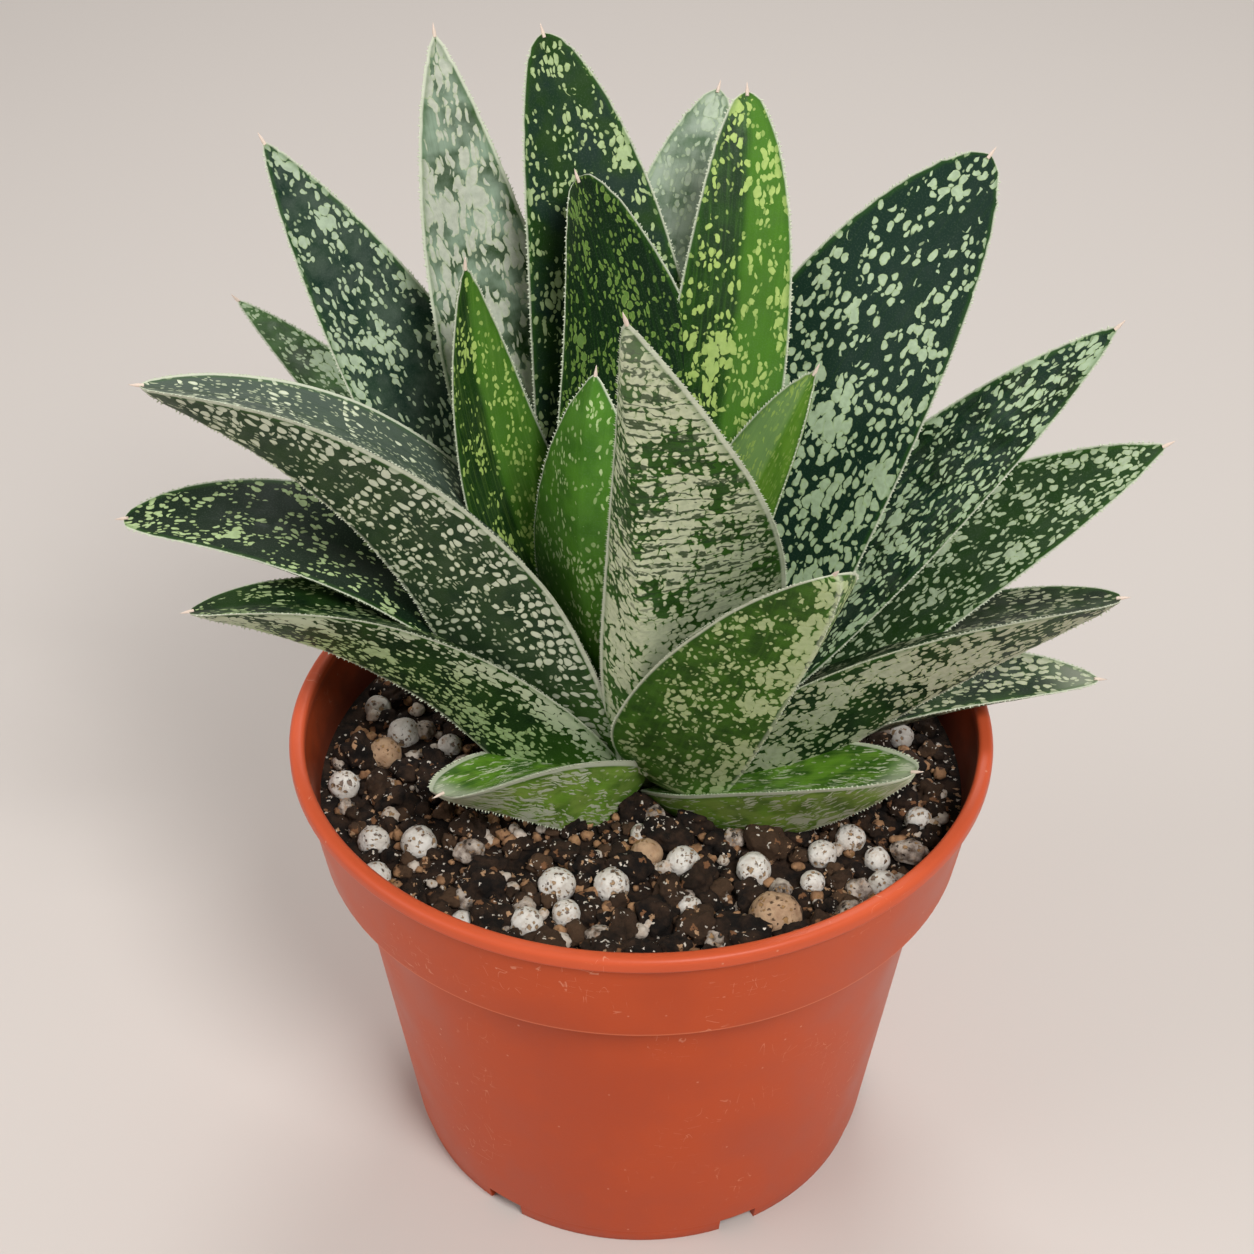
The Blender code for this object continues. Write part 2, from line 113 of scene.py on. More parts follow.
YOUNG_LEAVES = ("leaf_11", "leaf_12", "leaf_13", "leaf_21", "leaf_27")
KEELED = ("leaf_01", "leaf_04", "leaf_05", "leaf_06", "leaf_07", "leaf_18", "leaf_19", "leaf_20", "leaf_03")
CREASED = YOUNG_LEAVES + ("leaf_15", "leaf_16", "leaf_19", "leaf_20", "leaf_04")

# ---- colours (linear) ----
DEEP = (0.004, 0.017, 0.005)
BLUE_GREEN = (0.010, 0.030, 0.019)
MOSS = (0.016, 0.048, 0.008)
MID = (0.034, 0.115, 0.009)
BRIGHT = (0.095, 0.250, 0.022)
LIME = (0.36, 0.52, 0.12)
PALE = (0.50, 0.62, 0.41)
CREAM = (0.72, 0.75, 0.58)
GREY_GREEN = (0.26, 0.35, 0.25)
DULL_OLIVE = (0.13, 0.23, 0.045)
SLATE = (0.085, 0.115, 0.095)
HAZE = (0.40, 0.46, 0.38)
WHITE_GREEN = (0.64, 0.67, 0.52)
PINK_WHITE = (0.74, 0.60, 0.50)
YELLOW_GREEN = (0.38, 0.52, 0.13)
BONE = (0.56, 0.57, 0.47)
WARM_GREY = (0.50, 0.51, 0.36)
OLIVE_WHITE = (0.46, 0.58, 0.29)
FRESH = (0.15, 0.34, 0.025)
LEMON = (0.36, 0.50, 0.10)
NIGHT = (0.005, 0.017, 0.006)

# A leaf's looks. base and second are the greens between the spots. amount is how much is spotted, size
# the spots' spacing across and along in mm, bands how far they gather in rows across the leaf, speckle the
# share of fine dots, haze a pale bloom that is partly painted sheen, under the back's tint and flip its
# strength, rim the pale margin's width and cap how pale the tip is. plus and minus tint the two halves of
# the face; a bright plus is painted light on one half and a deep minus painted shade on the other. tip,
# back, keel and hem add to the amount at the tip, on the back, by the keel and by the back's margins. Neat
# spots stay round and apart. lines darkens wavy lines across the outer half.
LOOK_DEFAULTS = {
    "bands": 0.0, "speckle": 0.15, "haze": 0.02, "under": MOSS, "flip": 0.3, "rim": 0.3, "cap": 0.0,
    "plus": None, "minus": None, "tip": 0.0, "back": 0.0, "keel": 0.0, "hem": 0.0, "neat": False,
    "lines": 0.0,
}
Look = namedtuple("Look", ["base", "second", "spot", "amount", "size", *LOOK_DEFAULTS],
                  defaults=LOOK_DEFAULTS.values())
PLAIN = Look(BLUE_GREEN, MOSS, PALE, 0.42, (1.6, 2.6))
LOOKS = {
    "leaf_01": Look((0.042, 0.070, 0.032), (0.020, 0.040, 0.020), CREAM, 0.17, (1.8, 2.1), bands=0.75,
        speckle=0.3, rim=0.8, plus=SLATE, minus=SLATE, back=0.34, keel=0.12, hem=0.5, neat=True),
    "leaf_02": Look(MOSS, MID, (0.72, 0.76, 0.52), 1.02, (1.3, 2.0), bands=0.2, speckle=0.1, haze=0.05,
        under=MID, rim=0.7, cap=0.15, tip=-0.1, lines=0.9),
    # leaf_03's deep minus half is painted shade.
    "leaf_03": Look(MOSS, MOSS, (0.54, 0.63, 0.33), 0.36, (1.3, 2.6), speckle=0.2, haze=0.0, under=BRIGHT,
        rim=0.4, tip=-0.1, minus=DEEP, keel=0.6),
    "leaf_04": Look(MID, FRESH, WHITE_GREEN, 0.31, (0.7, 4.6), haze=0.0,
        under=LEMON, flip=0.36, rim=1.2, cap=0.7, back=0.02, keel=0.45),
    "leaf_05": Look(MID, FRESH, WHITE_GREEN, 0.28, (0.7, 4.6), speckle=0.2, haze=0.0,
        under=LEMON, flip=0.40, rim=0.8, cap=0.6, keel=0.4),
    "leaf_06": Look(MOSS, DEEP, WARM_GREY, 0.44, (1.2, 2.0), back=0.40, flip=0.1),
    "leaf_07": Look(DEEP, MOSS, WARM_GREY, 0.50, (1.4, 2.4), speckle=0.2, back=0.15, cap=0.3),
    "leaf_08": Look((0.024, 0.052, 0.018), MOSS, (0.48, 0.57, 0.38), 0.54, (1.2, 2.1), speckle=0.2,
        under=BLUE_GREEN),
    "leaf_09": Look(BLUE_GREEN, DEEP, PALE, 0.58, (1.2, 2.4), speckle=0.25, haze=0.06, under=MID),
    "leaf_10": Look(BLUE_GREEN, BLUE_GREEN, PALE, 0.80, (1.7, 2.5), speckle=0.04, haze=0.0, tip=-0.45),
    "leaf_11": Look((0.17, 0.36, 0.035), BRIGHT, LIME, 0.16, (0.7, 2.4), speckle=0.3, haze=0.0, under=LIME,
        minus=(0.24, 0.36, 0.16)),
    # leaf_12, leaf_13 and leaf_21: their bright greens are partly painted light shining through the young
    # leaves.
    "leaf_12": Look((0.055, 0.17, 0.014), MID, OLIVE_WHITE, 0.06, (0.8, 1.8), speckle=0.25, under=BRIGHT),
    "leaf_13": Look((0.014, 0.052, 0.006), (0.030, 0.100, 0.009), (0.46, 0.62, 0.16), 0.22, (1.2, 1.8),
        speckle=0.2, under=(0.20, 0.34, 0.06), plus=BRIGHT, minus=DEEP),
    "leaf_14": Look(DEEP, DEEP, DULL_OLIVE, 0.35, (1.1, 1.9), speckle=0.2, haze=0.0, under=MID),
    "leaf_15": Look(BLUE_GREEN, MOSS, OLIVE_WHITE, 0.50, (1.3, 1.9), bands=0.3, speckle=0.08, tip=-0.1),
    # leaf_16's haze and pale grey-green base are partly painted sheen.
    "leaf_16": Look(GREY_GREEN, MOSS, BONE, 0.80, (1.3, 3.6), haze=0.2, rim=0.5),
    "leaf_17": Look(BLUE_GREEN, (0.020, 0.046, 0.026), (0.47, 0.57, 0.40), 0.56, (1.3, 2.2), speckle=0.1,
        haze=0.1, under=BLUE_GREEN),
    "leaf_18": Look(MOSS, MID, PALE, 0.60, (1.3, 2.2), haze=0.08),
    "leaf_19": Look(NIGHT, NIGHT, OLIVE_WHITE, 0.32, (1.3, 1.9),
        speckle=0.12, haze=0.0, under=DEEP, keel=0.4, hem=0.35),
    "leaf_20": Look(DEEP, MOSS, OLIVE_WHITE, 0.34, (1.2, 1.9), haze=0.0, back=0.12, keel=0.2, hem=0.5),
    "leaf_21": Look((0.016, 0.048, 0.009), MID, (0.46, 0.60, 0.17), 0.44, (1.3, 2.2), speckle=0.2,
        under=BRIGHT, plus=BRIGHT, minus=DEEP),
    "leaf_22": Look((0.36, 0.44, 0.33), (0.10, 0.17, 0.09), (0.54, 0.63, 0.47), 0.62, (1.3, 2.4), haze=0.6),
    "leaf_27": Look(BRIGHT, MID, LIME, 0.12, (0.8, 2.0), speckle=0.3, haze=0.0, under=BRIGHT),
}

# Stones on the soil: heading, distance from the pot's axis, and radius.
Stone = namedtuple("Stone", "heading distance radius")
PUMICE = [Stone(*row) for row in (
    (270, 18.5, 1.9), (285, 26.5, 2.8), (304, 33, 3.0), (261, 31.5, 3.0), (246, 34, 3.0),
    (252, 39.5, 2.4), (245, 44, 2.8), (234, 49, 2.2), (282, 37, 2.1), (322, 38, 2.5), (331, 40, 2.5),
    (313, 41, 2.0), (322, 50, 2.6), (328, 46, 2.2), (343, 49, 2.3), (204, 49, 2.7), (209, 42.5, 3.0),
    (213, 52, 2.4), (186, 51.5, 2.7), (168, 43, 2.8), (161, 50, 2.4), (171, 34, 2.2), (10, 47, 2.2),
    (42, 50, 2.7), (75, 47, 2.8), (112, 50, 2.6),
)]
TAN_STONES = [Stone(*row) for row in (
    (299, 44, 4.2), (272, 23.5, 2.6), (176, 45, 3.0),
)]


def around(distance, heading, height):
    """The place at a distance from the pot's axis and a heading in degrees."""
    angle = math.radians(heading)
    return Vector((distance * math.cos(angle), distance * math.sin(angle), height))


def new_object(name, data):
    obj = bpy.data.objects.new(name, data)
    bpy.context.scene.collection.objects.link(obj)
    return obj


def bmesh_object(name, bm):
    mesh = bpy.data.meshes.new(name)
    bm.to_mesh(mesh)
    bm.free()
    return new_object(name, mesh)


# ---- node trees ----

class Tree:
    """The node tree of a material or of the world, with one short call for each kind of node."""

    def __init__(self, owner):
        owner.use_nodes = True
        self.owner = owner
        self.nodes = owner.node_tree.nodes
        self.links = owner.node_tree.links

    def put(self, socket, value):
        if isinstance(value, bpy.types.NodeSocket):
            self.links.new(value, socket)
        elif isinstance(value, tuple) and len(value) == 3 and socket.type == "RGBA":
            socket.default_value = (*value, 1)
        else:
            socket.default_value = value

    def add(self, kind, values=None, **settings):
        node = self.nodes.new(kind)
        for key, value in settings.items():
            setattr(node, key, value)
        for key, value in (values or {}).items():
            self.put(node.inputs[key], value)
        return node

    def math(self, operation, *values):
        return self.add("ShaderNodeMath", dict(enumerate(values)), operation=operation).outputs[0]

    def times(self, first, second):
        return self.math("MULTIPLY", first, second)

    def fit(self, value, factor, start):
        """Value times factor, plus start."""
        return self.math("MULTIPLY_ADD", value, factor, start)

    def vector_math(self, operation, *values):
        return self.add("ShaderNodeVectorMath", dict(enumerate(values)), operation=operation).outputs[0]

    def length(self, vector):
        return self.add("ShaderNodeVectorMath", {0: vector}, operation="LENGTH").outputs["Value"]

    def scaled(self, vector, factors):
        return self.vector_math("MULTIPLY", vector, factors)

    def split(self, vector):
        """The vector's three components."""
        return self.add("ShaderNodeSeparateXYZ", {0: vector}).outputs

    def mix(self, factor, first, second):
        node = self.add("ShaderNodeMix", data_type="RGBA")
        self.put(node.inputs[0], factor)
        self.put(node.inputs[6], first)
        self.put(node.inputs[7], second)
        return node.outputs[2]

    def step(self, value, low, high, start=0.0, end=1.0):
        """Go smoothly from start to end as value goes from low to high."""
        values = dict(enumerate((value, low, high, start, end)))
        return self.add("ShaderNodeMapRange", values, interpolation_type="SMOOTHSTEP").outputs[0]

    def uv(self, name):
        return self.add("ShaderNodeUVMap", uv_map=name).outputs[0]

    def attribute(self, name):
        return self.add("ShaderNodeAttribute", attribute_name=name).outputs["Fac"]

    def place(self):
        """Object coordinates in millimetres: a piece's mesh lies in the row frame."""
        coordinates = self.add("ShaderNodeTexCoord").outputs["Object"]
        return self.scaled(coordinates, (1000.0, 1000.0, 1000.0))

    def noise(self, where, scale, detail=2.0, roughness=0.5, output=0):
        values = {"Vector": where, "Scale": scale, "Detail": detail, "Roughness": roughness}
        return self.add("ShaderNodeTexNoise", values).outputs[output]

    def drift(self, where, sample, scale, detail, reach):
        """The place where, moved about by noise that is read at the place sample."""
        colour = self.noise(sample, scale, detail, output="Color")
        centred = self.vector_math("SUBTRACT", colour, (0.5, 0.5, 0.5))
        return self.vector_math("MULTIPLY_ADD", centred, reach, where)

    def cells(self, where, scale=1.0, randomness=1.0, dimensions="3D"):
        """The distance to the nearest cell's point, and three random numbers that are that cell's own."""
        values = {"Vector": where, "Scale": scale, "Randomness": randomness}
        cells = self.add("ShaderNodeTexVoronoi", values, voronoi_dimensions=dimensions).outputs
        return cells["Distance"], self.add("ShaderNodeSeparateColor", {0: cells["Color"]}).outputs

    def bump(self, height, strength, distance_mm):
        values = {"Height": height, "Strength": strength, "Distance": distance_mm * MM}
        return self.add("ShaderNodeBump", values).outputs[0]

    def finish(self, colour, roughness, normal=None, specular=0.5):
        shader = self.nodes["Principled BSDF"].inputs
        self.put(shader["Base Color"], colour)
        self.put(shader["Roughness"], roughness)
        self.put(shader["Specular IOR Level"], specular)
        if normal is not None:
            self.put(shader["Normal"], normal)
        return self.owner

    def seen(self):
        """1 for camera, mirrored and transmitted rays, and 0 for any other."""
        rays = self.add("ShaderNodeLightPath").outputs
        bounced = self.math("MAXIMUM", rays["Is Glossy Ray"], rays["Is Transmission Ray"])
        return self.math("MAXIMUM", rays["Is Camera Ray"], bounced)

    def blend(self, factor, first, second, output):
        """Send the first shader to the output, fading to the second as the factor goes to 1."""
        both = self.add("ShaderNodeMixShader", {0: factor, 1: first.outputs[0], 2: second.outputs[0]})
        self.put(self.nodes[output].inputs["Surface"], both.outputs[0])


def material_tree(name):
    return Tree(bpy.data.materials.new(name))


# ---- leaf skins ----

LeafPlace = namedtuple("LeafPlace", "mm wandered across along to_margin to_keel on_back on_point")


def leaf_place(t):
    """Where on the leaf a point lies.

    UV map mm holds millimetres across and along the leaf. UV map edge holds millimetres to the margin, and
    the share of the length, with 2 added on the back and 4 on the point.
    """
    mm = t.uv("mm")
    edge = t.split(t.uv("edge"))
    return LeafPlace(
        mm=mm,
        wandered=t.drift(mm, mm, 0.3, 1.0, (2.2, 2.2, 0.0)),
        across=t.split(mm)[0],
        along=t.math("MODULO", edge[1], 2.0),
        to_margin=edge[0],
        to_keel=t.attribute("keel"),
        on_back=t.math("GREATER_THAN", edge[1], 1.5),
        on_point=t.math("GREATER_THAN", edge[1], 3.5),
    )


def spot_layer(t, where, size, density, shift, neat=False):
    """Ovals, at most one to a cell, that swell and merge where the density is high, and their middles."""
    wide, long = size
    place = t.vector_math("MULTIPLY_ADD", where, (1 / wide, 1 / long, 0.0), (shift, shift, 0.0))
    distance, draw = t.cells(place, randomness=0.34 if neat else 0.68, dimensions="2D")
    present = t.math("LESS_THAN", draw[0], density)
    swell = t.step(density, 0.6, 1.1, 0.0, 0.06 if neat else 0.28)
    radius = t.math("ADD", t.fit(draw[1], 0.13, 0.25), swell)
    inside = t.math("SUBTRACT", radius, distance)
    spots = t.times(t.step(inside, -0.02, 0.05), present)
    return spots, t.times(t.step(inside, 0.04, 0.18), present)


def spot_density(t, look, here):
    """How much of the leaf is spotted at a place: 0 for none of it, 1 for nearly all."""
    clusters = t.noise(t.scaled(here.mm, (1.0, 0.6, 0.0)), 0.15, 2.5, 0.6)
    spread = 1.6 if look.neat else 3.2
    density = t.fit(t.math("SUBTRACT", clusters, 0.5), spread, look.amount)
    if look.bands:
        rows = t.noise(t.scaled(here.wandered, (0.06, 1.0, 0.0)), 0.30, 1.0)
        density = t.fit(t.math("SUBTRACT", rows, 0.5), 3.8 * look.bands, density)
    near_keel = t.times(t.step(here.to_keel, 12.0, 1.0), here.on_back)
    near_hem = t.times(t.step(here.to_margin, 9.0, 1.0), here.on_back)
    for place, more in ((t.step(here.along, 0.45, 0.95), look.tip), (here.on_back, look.back),
                        (near_keel, look.keel), (near_hem, look.hem)):
        density = t.fit(place, more, density)
    return density


def dark_lines(t, here):
    """Thin wavy lines across the outer half of a leaf, broken here and there."""
    wave = t.noise(t.scaled(here.mm, (0.16, 0.30, 0.0)), 1.0, 3.0, 0.6)
    fine = t.noise(here.mm, 1.1, 1.0)
    lengthwise = t.split(here.mm)[1]
    bent = t.math("ADD", t.fit(wave, 7.0, lengthwise), t.times(fine, 1.3))
    line = t.step(t.math("SINE", t.times(bent, 2.9)), 0.35, 0.75)
    breaks = t.step(t.noise(here.mm, 0.55), 0.38, 0.46)
    return t.times(t.times(line, breaks), t.step(here.along, 0.36, 0.52))


def base_colour(t, look, here):
    """The green between the spots: clouded, streaked lengthwise, and brighter near the stem."""
    cloud = t.noise(here.mm, 0.16, 3.0)
    colour = t.mix(t.step(cloud, 0.35, 0.65), look.base, look.second)
    on_face = t.math("SUBTRACT", 1.0, here.on_back)
    # Painted light and shade: a bright plus lights one half of the face, a deep minus shades the other half.
    for tint, low, high in ((look.plus, -0.6, 1.2), (look.minus, 0.6, -1.2)):
        if tint:
            half = t.times(t.step(here.across, low, high), on_face)
            colour = t.mix(t.times(half, 0.6), colour, tint)
    streaks = t.noise(t.scaled(here.mm, (1.6, 0.07, 0.0)), 1.0, 3.0, 0.6)
    colour = t.mix(t.step(streaks, 0.45, 0.75, 0.0, 0.30), colour, look.under)
    patches = t.step(t.noise(here.mm, 0.25, 3.0), 0.35, 0.65, 0.4 * look.flip, 1.5 * look.flip)
    colour = t.mix(t.times(here.on_back, patches), colour, look.under)
    return t.mix(t.step(here.along, 0.26, 0.04, 0.0, 0.5), colour, BRIGHT)


def spot_colour(t, look, here, density, middles):
    """The spots' own colour: yellower at their edges, uneven, and greyer where they crowd."""
    colour = t.mix(t.fit(middles, -0.3, 0.3), look.spot, YELLOW_GREEN)
    uneven = t.noise(here.mm, 0.9)
    colour = t.mix(t.step(uneven, 0.35, 0.7, 0.0, 0.12 if look.neat else 0.2), colour, look.under)
    colour = t.mix(t.step(density, 0.7, 1.3, 0.0, 0.12), colour, GREY_GREEN)
    if look.hem:
        near_hem = t.times(t.step(here.to_margin, 10.0, 2.0, 0.0, 0.6), here.on_back)
        colour = t.mix(near_hem, colour, WHITE_GREEN)
    return colour


def edged(t, look, here, colour, keeled):
    """The colour with a pale tip, margin, keel line and point, and a green band inside the margin."""
    if look.cap:
        colour = t.mix(t.step(here.along, 0.84, 0.97, 0.0, look.cap), colour, WHITE_GREEN)
    colour = t.mix(t.step(here.to_margin, look.rim + 1.2, look.rim, 0.0, 0.45), colour, MID)
    line = t.step(here.to_margin, look.rim + 0.2, look.rim - 0.2)
    if keeled:
        keel_line = t.times(t.step(here.to_keel, 0.8, 0.2), here.on_back)
        line = t.math("MAXIMUM", line, t.times(keel_line, 0.5))
    colour = t.mix(t.times(line, 0.85), colour, WHITE_GREEN)
    return t.mix(here.on_point, colour, PINK_WHITE)


def leaf_skin(name, look):
    """Dark green with ovals that gather into blotches, fine dots, pale margins and a pink-white point."""
    t = material_tree(name + "_skin")
    here = leaf_place(t)
    rippled = t.drift(here.wandered, here.mm, 1.3, 1.0, (0.45, 0.45, 0.0))
    density = spot_density(t, look, here)
    where = here.wandered if look.neat else rippled
    spots, middles = spot_layer(t, where, look.size, density, 0.0, look.neat)
    small_size = [0.72 * size for size in look.size]
    thinner = t.fit(density, 0.75, -0.6 if look.neat else -0.12)
    small, small_middles = spot_layer(t, rippled, small_size, thinner, 17.3)
    spots = t.math("MAXIMUM", spots, small)
    middles = t.math("MAXIMUM", middles, small_middles)
    dots = spot_layer(t, here.wandered, (0.75, 1.2), look.speckle, 5.1)[0]

    spotted = t.math("MAXIMUM", t.times(spots, 0.95), t.times(dots, 0.6))
    colour = t.mix(spotted, base_colour(t, look, here), spot_colour(t, look, here, density, middles))
    if look.lines:
        colour = t.mix(t.times(dark_lines(t, here), look.lines), colour, MOSS)
    # A pale bloom, partly the leaf's own and partly painted sheen.
    bloom_and_sheen = t.step(t.noise(here.mm, 0.22, 4.0, 0.65), 0.35, 0.7, 0.0, look.haze)
    colour = t.mix(bloom_and_sheen, colour, HAZE)
    pores = t.noise(here.mm, 3.4)
    colour = t.mix(t.step(pores, 0.5, 0.7, 0.0, 0.06), colour, GREY_GREEN)
    colour = edged(t, look, here, colour, name in KEELED)

    relief = t.fit(pores, 0.5, t.times(spots, 0.4))
    roughness = t.step(t.noise(here.mm, 0.4, 3.0), 0.3, 0.7, 0.36, 0.52)
    return t.finish(colour, roughness, t.bump(relief, 0.6, 0.12), 0.10)


# ---- leaf shape ----

def both_halves(shares):
    return (*shares, 0.0, *(-share for share in reversed(shares)))


# Places across a leaf, as shares of its half width: the face from margin to margin, then the back.
FACE_SHARES = both_halves((1.0, 0.98, 0.92, 0.83, 0.71, 0.56, 0.38, 0.2, 0.06))
BACK_SHARES = both_halves((1.0, 0.985, 0.95, 0.88, 0.76, 0.6, 0.42, 0.26, 0.13, 0.05))[::-1]
EDGE_ROUND = 0.45
EDGE_LIMIT = 0.15
FACE_ROUND = 0.4
SOFT_CREASE = 2.0
SHARP_CREASE = 1.25
SHARP_KEEL = 1.12
RING_GAP = 1.7
FEWEST_RINGS = 26
RING_CROWDING = 1.35
RIPPLE_SHARE = 0.03
RIPPLE_LIMIT = 0.3
POINT_LENGTH = 1.5
POINT_RADIUS = 0.30
POINT_SIDES = 8
TOOTH_SPACING = 0.72
TOOTH_HEIGHT = 0.45
TOOTH_HALF = 0.25
TEETH_FROM = 0.12
KEEL_TEETH_FROM = 0.3
TEETH_TO = 0.985

# What the skins read: the face lies far from the keel, the back's pattern lies 90 mm aside of the face's,
# and each leaf's pattern starts 37 mm further along than the last leaf's.
FAR_FROM_KEEL = 9.0
BACK_ASIDE = 90.0
NEXT_LEAF = 37.0

SpinePoint = namedtuple("SpinePoint", "place forward sideways upward")
Ring = namedtuple("Ring", "places keel corners")


def leaf_width(leaf, along):
    if along < BELLY:
        share = leaf.base + (1 - leaf.base) * math.sin(math.pi / 2 * along / BELLY)
    else:
        share = max(1 - ((along - BELLY) / (1 - BELLY)) ** 2, 0) ** leaf.taper
    return leaf.width * share


def leaf_thickness(leaf, along):
    tapered = leaf.thick * max(1 - along ** THIN_FROM, 0) ** THIN_POWER
    return min(tapered, THICK_LIMIT * leaf_width(leaf, along))


def leaf_spine(leaf, count=200):
    """The midrib as a list of evenly spaced points."""
    spine = []
    step = leaf.length / (count - 1)
    distance = LEAF_START if leaf.height < STEM_TOP else CROWN_START
    place = around(distance, leaf.heading, leaf.height)
    last = None
    for index in range(count):
        along = index / (count - 1)
        lean = math.radians(leaf.lean_base + (leaf.lean_tip - leaf.lean_base) * along ** LEAN_CURVE)
        heading = math.radians(leaf.heading + leaf.turn * along)
        reach = math.cos(lean)
        forward = Vector((reach * math.cos(heading), reach * math.sin(heading), math.sin(lean)))
        if last:
            place = place + (last + forward) * step / 2
        last = forward
        level = Vector((-math.sin(heading), math.cos(heading), 0))
        face = forward.cross(level)
        roll = math.radians(leaf.roll + leaf.twist * along)
        sideways = level * math.cos(roll) + face * math.sin(roll)
        upward = face * math.cos(roll) - level * math.sin(roll)
        spine.append(SpinePoint(place, forward, sideways, upward))
    return spine


def at(spine, along):
    return spine[min(int(round(along * (len(spine) - 1))), len(spine) - 1)]


class Shell:
    """Vertices and faces of one leaf in millimetres, with what the UV maps mm and edge say at each corner."""

    def __init__(self):
        self.verts = []
        self.keel = []
        self.faces = []
        self.corners = []

    def vert(self, place, keel=FAR_FROM_KEEL):
        self.verts.append(place)
        self.keel.append(keel)
        return len(self.verts) - 1

    def face(self, verts, *corners):
        """Add a face. A single corner stands for all of the face's."""
        self.faces.append(verts)
        self.corners.extend(corners * len(verts) if len(corners) == 1 else corners)

    def make(self, name, material):
        mesh = bpy.data.meshes.new(name)
        mesh.from_pydata([tuple(v * MM) for v in self.verts], [], self.faces)
        for key, first in (("mm", 0), ("edge", 2)):
            layer = mesh.uv_layers.new(name=key)
            layer.data.foreach_set("uv", [n for corner in self.corners for n in corner[first:first + 2]])
        attribute = mesh.attributes.new("keel", "FLOAT", "POINT")
        attribute.data.foreach_set("value", self.keel)
        mesh.materials.append(material)
        mesh.shade_smooth()
        mesh.set_sharp_from_angle(angle=math.radians(50))
        mesh.update()
        return new_object(name, mesh)


def section(leaf, along, crease, keel_power):
    """Points (sideways, upward) of the channelled face from margin to margin, then of the keeled back."""
    half = leaf_width(leaf, along) / 2
    thick = leaf_thickness(leaf, along)
    hollow = CHANNEL * 2 * half
    soft = min(EDGE_ROUND, EDGE_LIMIT * half)
    face = []
    for u in FACE_SHARES:
        rise = FACE_ROUND * soft * math.sqrt(max(1 - u * u, 0))
        face.append((u * half, rise - hollow * (1 - abs(u) ** crease)))
    back = []
    for u in BACK_SHARES:
        drop = soft * math.sqrt(max(1 - u * u, 0))
        shift = leaf.keel * half * (1 - abs(u))
        back.append((u * half + shift, -drop - thick * (1 - abs(u) ** keel_power)))
    return face, back


def girth(points):
    """Distance along a line of points, measured from its middle point."""
    middle = len(points) // 2
    lengths = [0.0]
    for start, end in zip(points, points[1:]):
        lengths.append(lengths[-1] + math.dist(start, end))
    return [length - lengths[middle] for length in lengths]


def uv_corners(line, along, on_back, leaf, shift):
    """What the UV maps say along one side of a ring, whose points lie at the distances in line."""
    return [(spot + BACK_ASIDE * on_back, along * leaf.length + shift,
             min(spot - line[0], line[-1] - spot), along + 2 * on_back) for spot in line]


def leaf_rings(name, leaf, seed, spine, shift):
    """Rings round the leaf, closer together near the tip, with a slight ripple."""
    crease = SHARP_CREASE if name in CREASED else SOFT_CREASE
    keel_power = SHARP_KEEL if name in KEELED else KEEL_POWER
    count = max(FEWEST_RINGS, int(leaf.length / RING_GAP))
    rings = []
    for index in range(count):
        along = 1 - (1 - index / count) ** RING_CROWDING
        point = at(spine, along)
        face, back = section(leaf, along, crease, keel_power)
        half = max(across for across, up in face)
        places = []
        for across, up in face + back[1:-1]:
            sample = Vector((across * 0.11, along * leaf.length * 0.07, seed * 3.1 + (up < -half * 0.3)))
            ripple = noise.noise(sample) * min(half * RIPPLE_SHARE, RIPPLE_LIMIT)
            places.append(point.place + point.sideways * across + point.upward * (up + ripple))
        lines = (girth(face), girth(back))
        keel = [FAR_FROM_KEEL] * len(face) + [abs(spot) for spot in lines[1][1:-1]]
        corners = [uv_corners(line, along, on_back, leaf, shift) for on_back, line in enumerate(lines)]
        rings.append(Ring(places, keel, corners))
    return rings


def add_side(shell, rings, on_back, end, tip):
    """The faces of the leaf's face or back, from the base to the tip, where the UV maps say end."""
    width = len(rings[0].places)
    first = (len(FACE_SHARES) - 1) * on_back
    for index, ring in enumerate(rings):
        for step in range(len(ring.corners[on_back]) - 1):
            a = index * width + (first + step) % width
            b = index * width + (first + step + 1) % width
            lower = ring.corners[on_back][step:step + 2]
            if ring is rings[-1]:
                shell.face((a, b, tip), *lower, end)
            else:
                upper = rings[index + 1].corners[on_back][step:step + 2]
                shell.face((a, b, b + width, a + width), *lower, *upper[::-1])


def leaf_piece(name, leaf, material, seed):
    shell = Shell()
    spine = leaf_spine(leaf)
    shift = seed * NEXT_LEAF
    rings = leaf_rings(name, leaf, seed, spine, shift)
    for ring in rings:
        for place, keel in zip(ring.places, ring.keel):
            shell.vert(place, keel)
    tip = shell.vert(spine[-1].place, 0.0)
    for on_back in (False, True):
        end = (BACK_ASIDE * on_back, leaf.length + shift, 0.0, 0.999 + 2 * on_back)
        add_side(shell, rings, on_back, end, tip)
    shell.face(range(len(rings[0].places))[::-1], (0, shift, 5, 2))
    add_point(shell, spine[-1], shift)
    add_teeth(shell, spine, leaf, name, seed, shift)
    return shell.make(name + "_skin", material)


def add_point(shell, end, shift):
    """The stiff pale point at a leaf's tip."""
    angles = [math.tau * k / POINT_SIDES for k in range(POINT_SIDES)]
    rows = []
    for share in (-0.55, 0.0, 0.35, 0.7):
        radius = POINT_RADIUS * (1 - max(share, 0)) ** 0.8
        centre = end.place + end.forward * POINT_LENGTH * share + end.upward * 0.15 * share
        rows.append([shell.vert(centre + end.sideways * radius * math.cos(angle)
                                + end.upward * radius * math.sin(angle)) for angle in angles])
    apex = shell.vert(end.place + end.forward * POINT_LENGTH + end.upward * 0.2)
    pale = (0.0, shift, 0.0, 4.0)
    for lower, upper in zip(rows, rows[1:]):
        for k in range(POINT_SIDES):
            n = (k + 1) % POINT_SIDES
            shell.face((lower[k], lower[n], upper[n], upper[k]), pale)
    for k in range(POINT_SIDES):
        shell.face((rows[-1][k], rows[-1][(k + 1) % POINT_SIDES], apex), pale)
    shell.face(rows[0][::-1], pale)


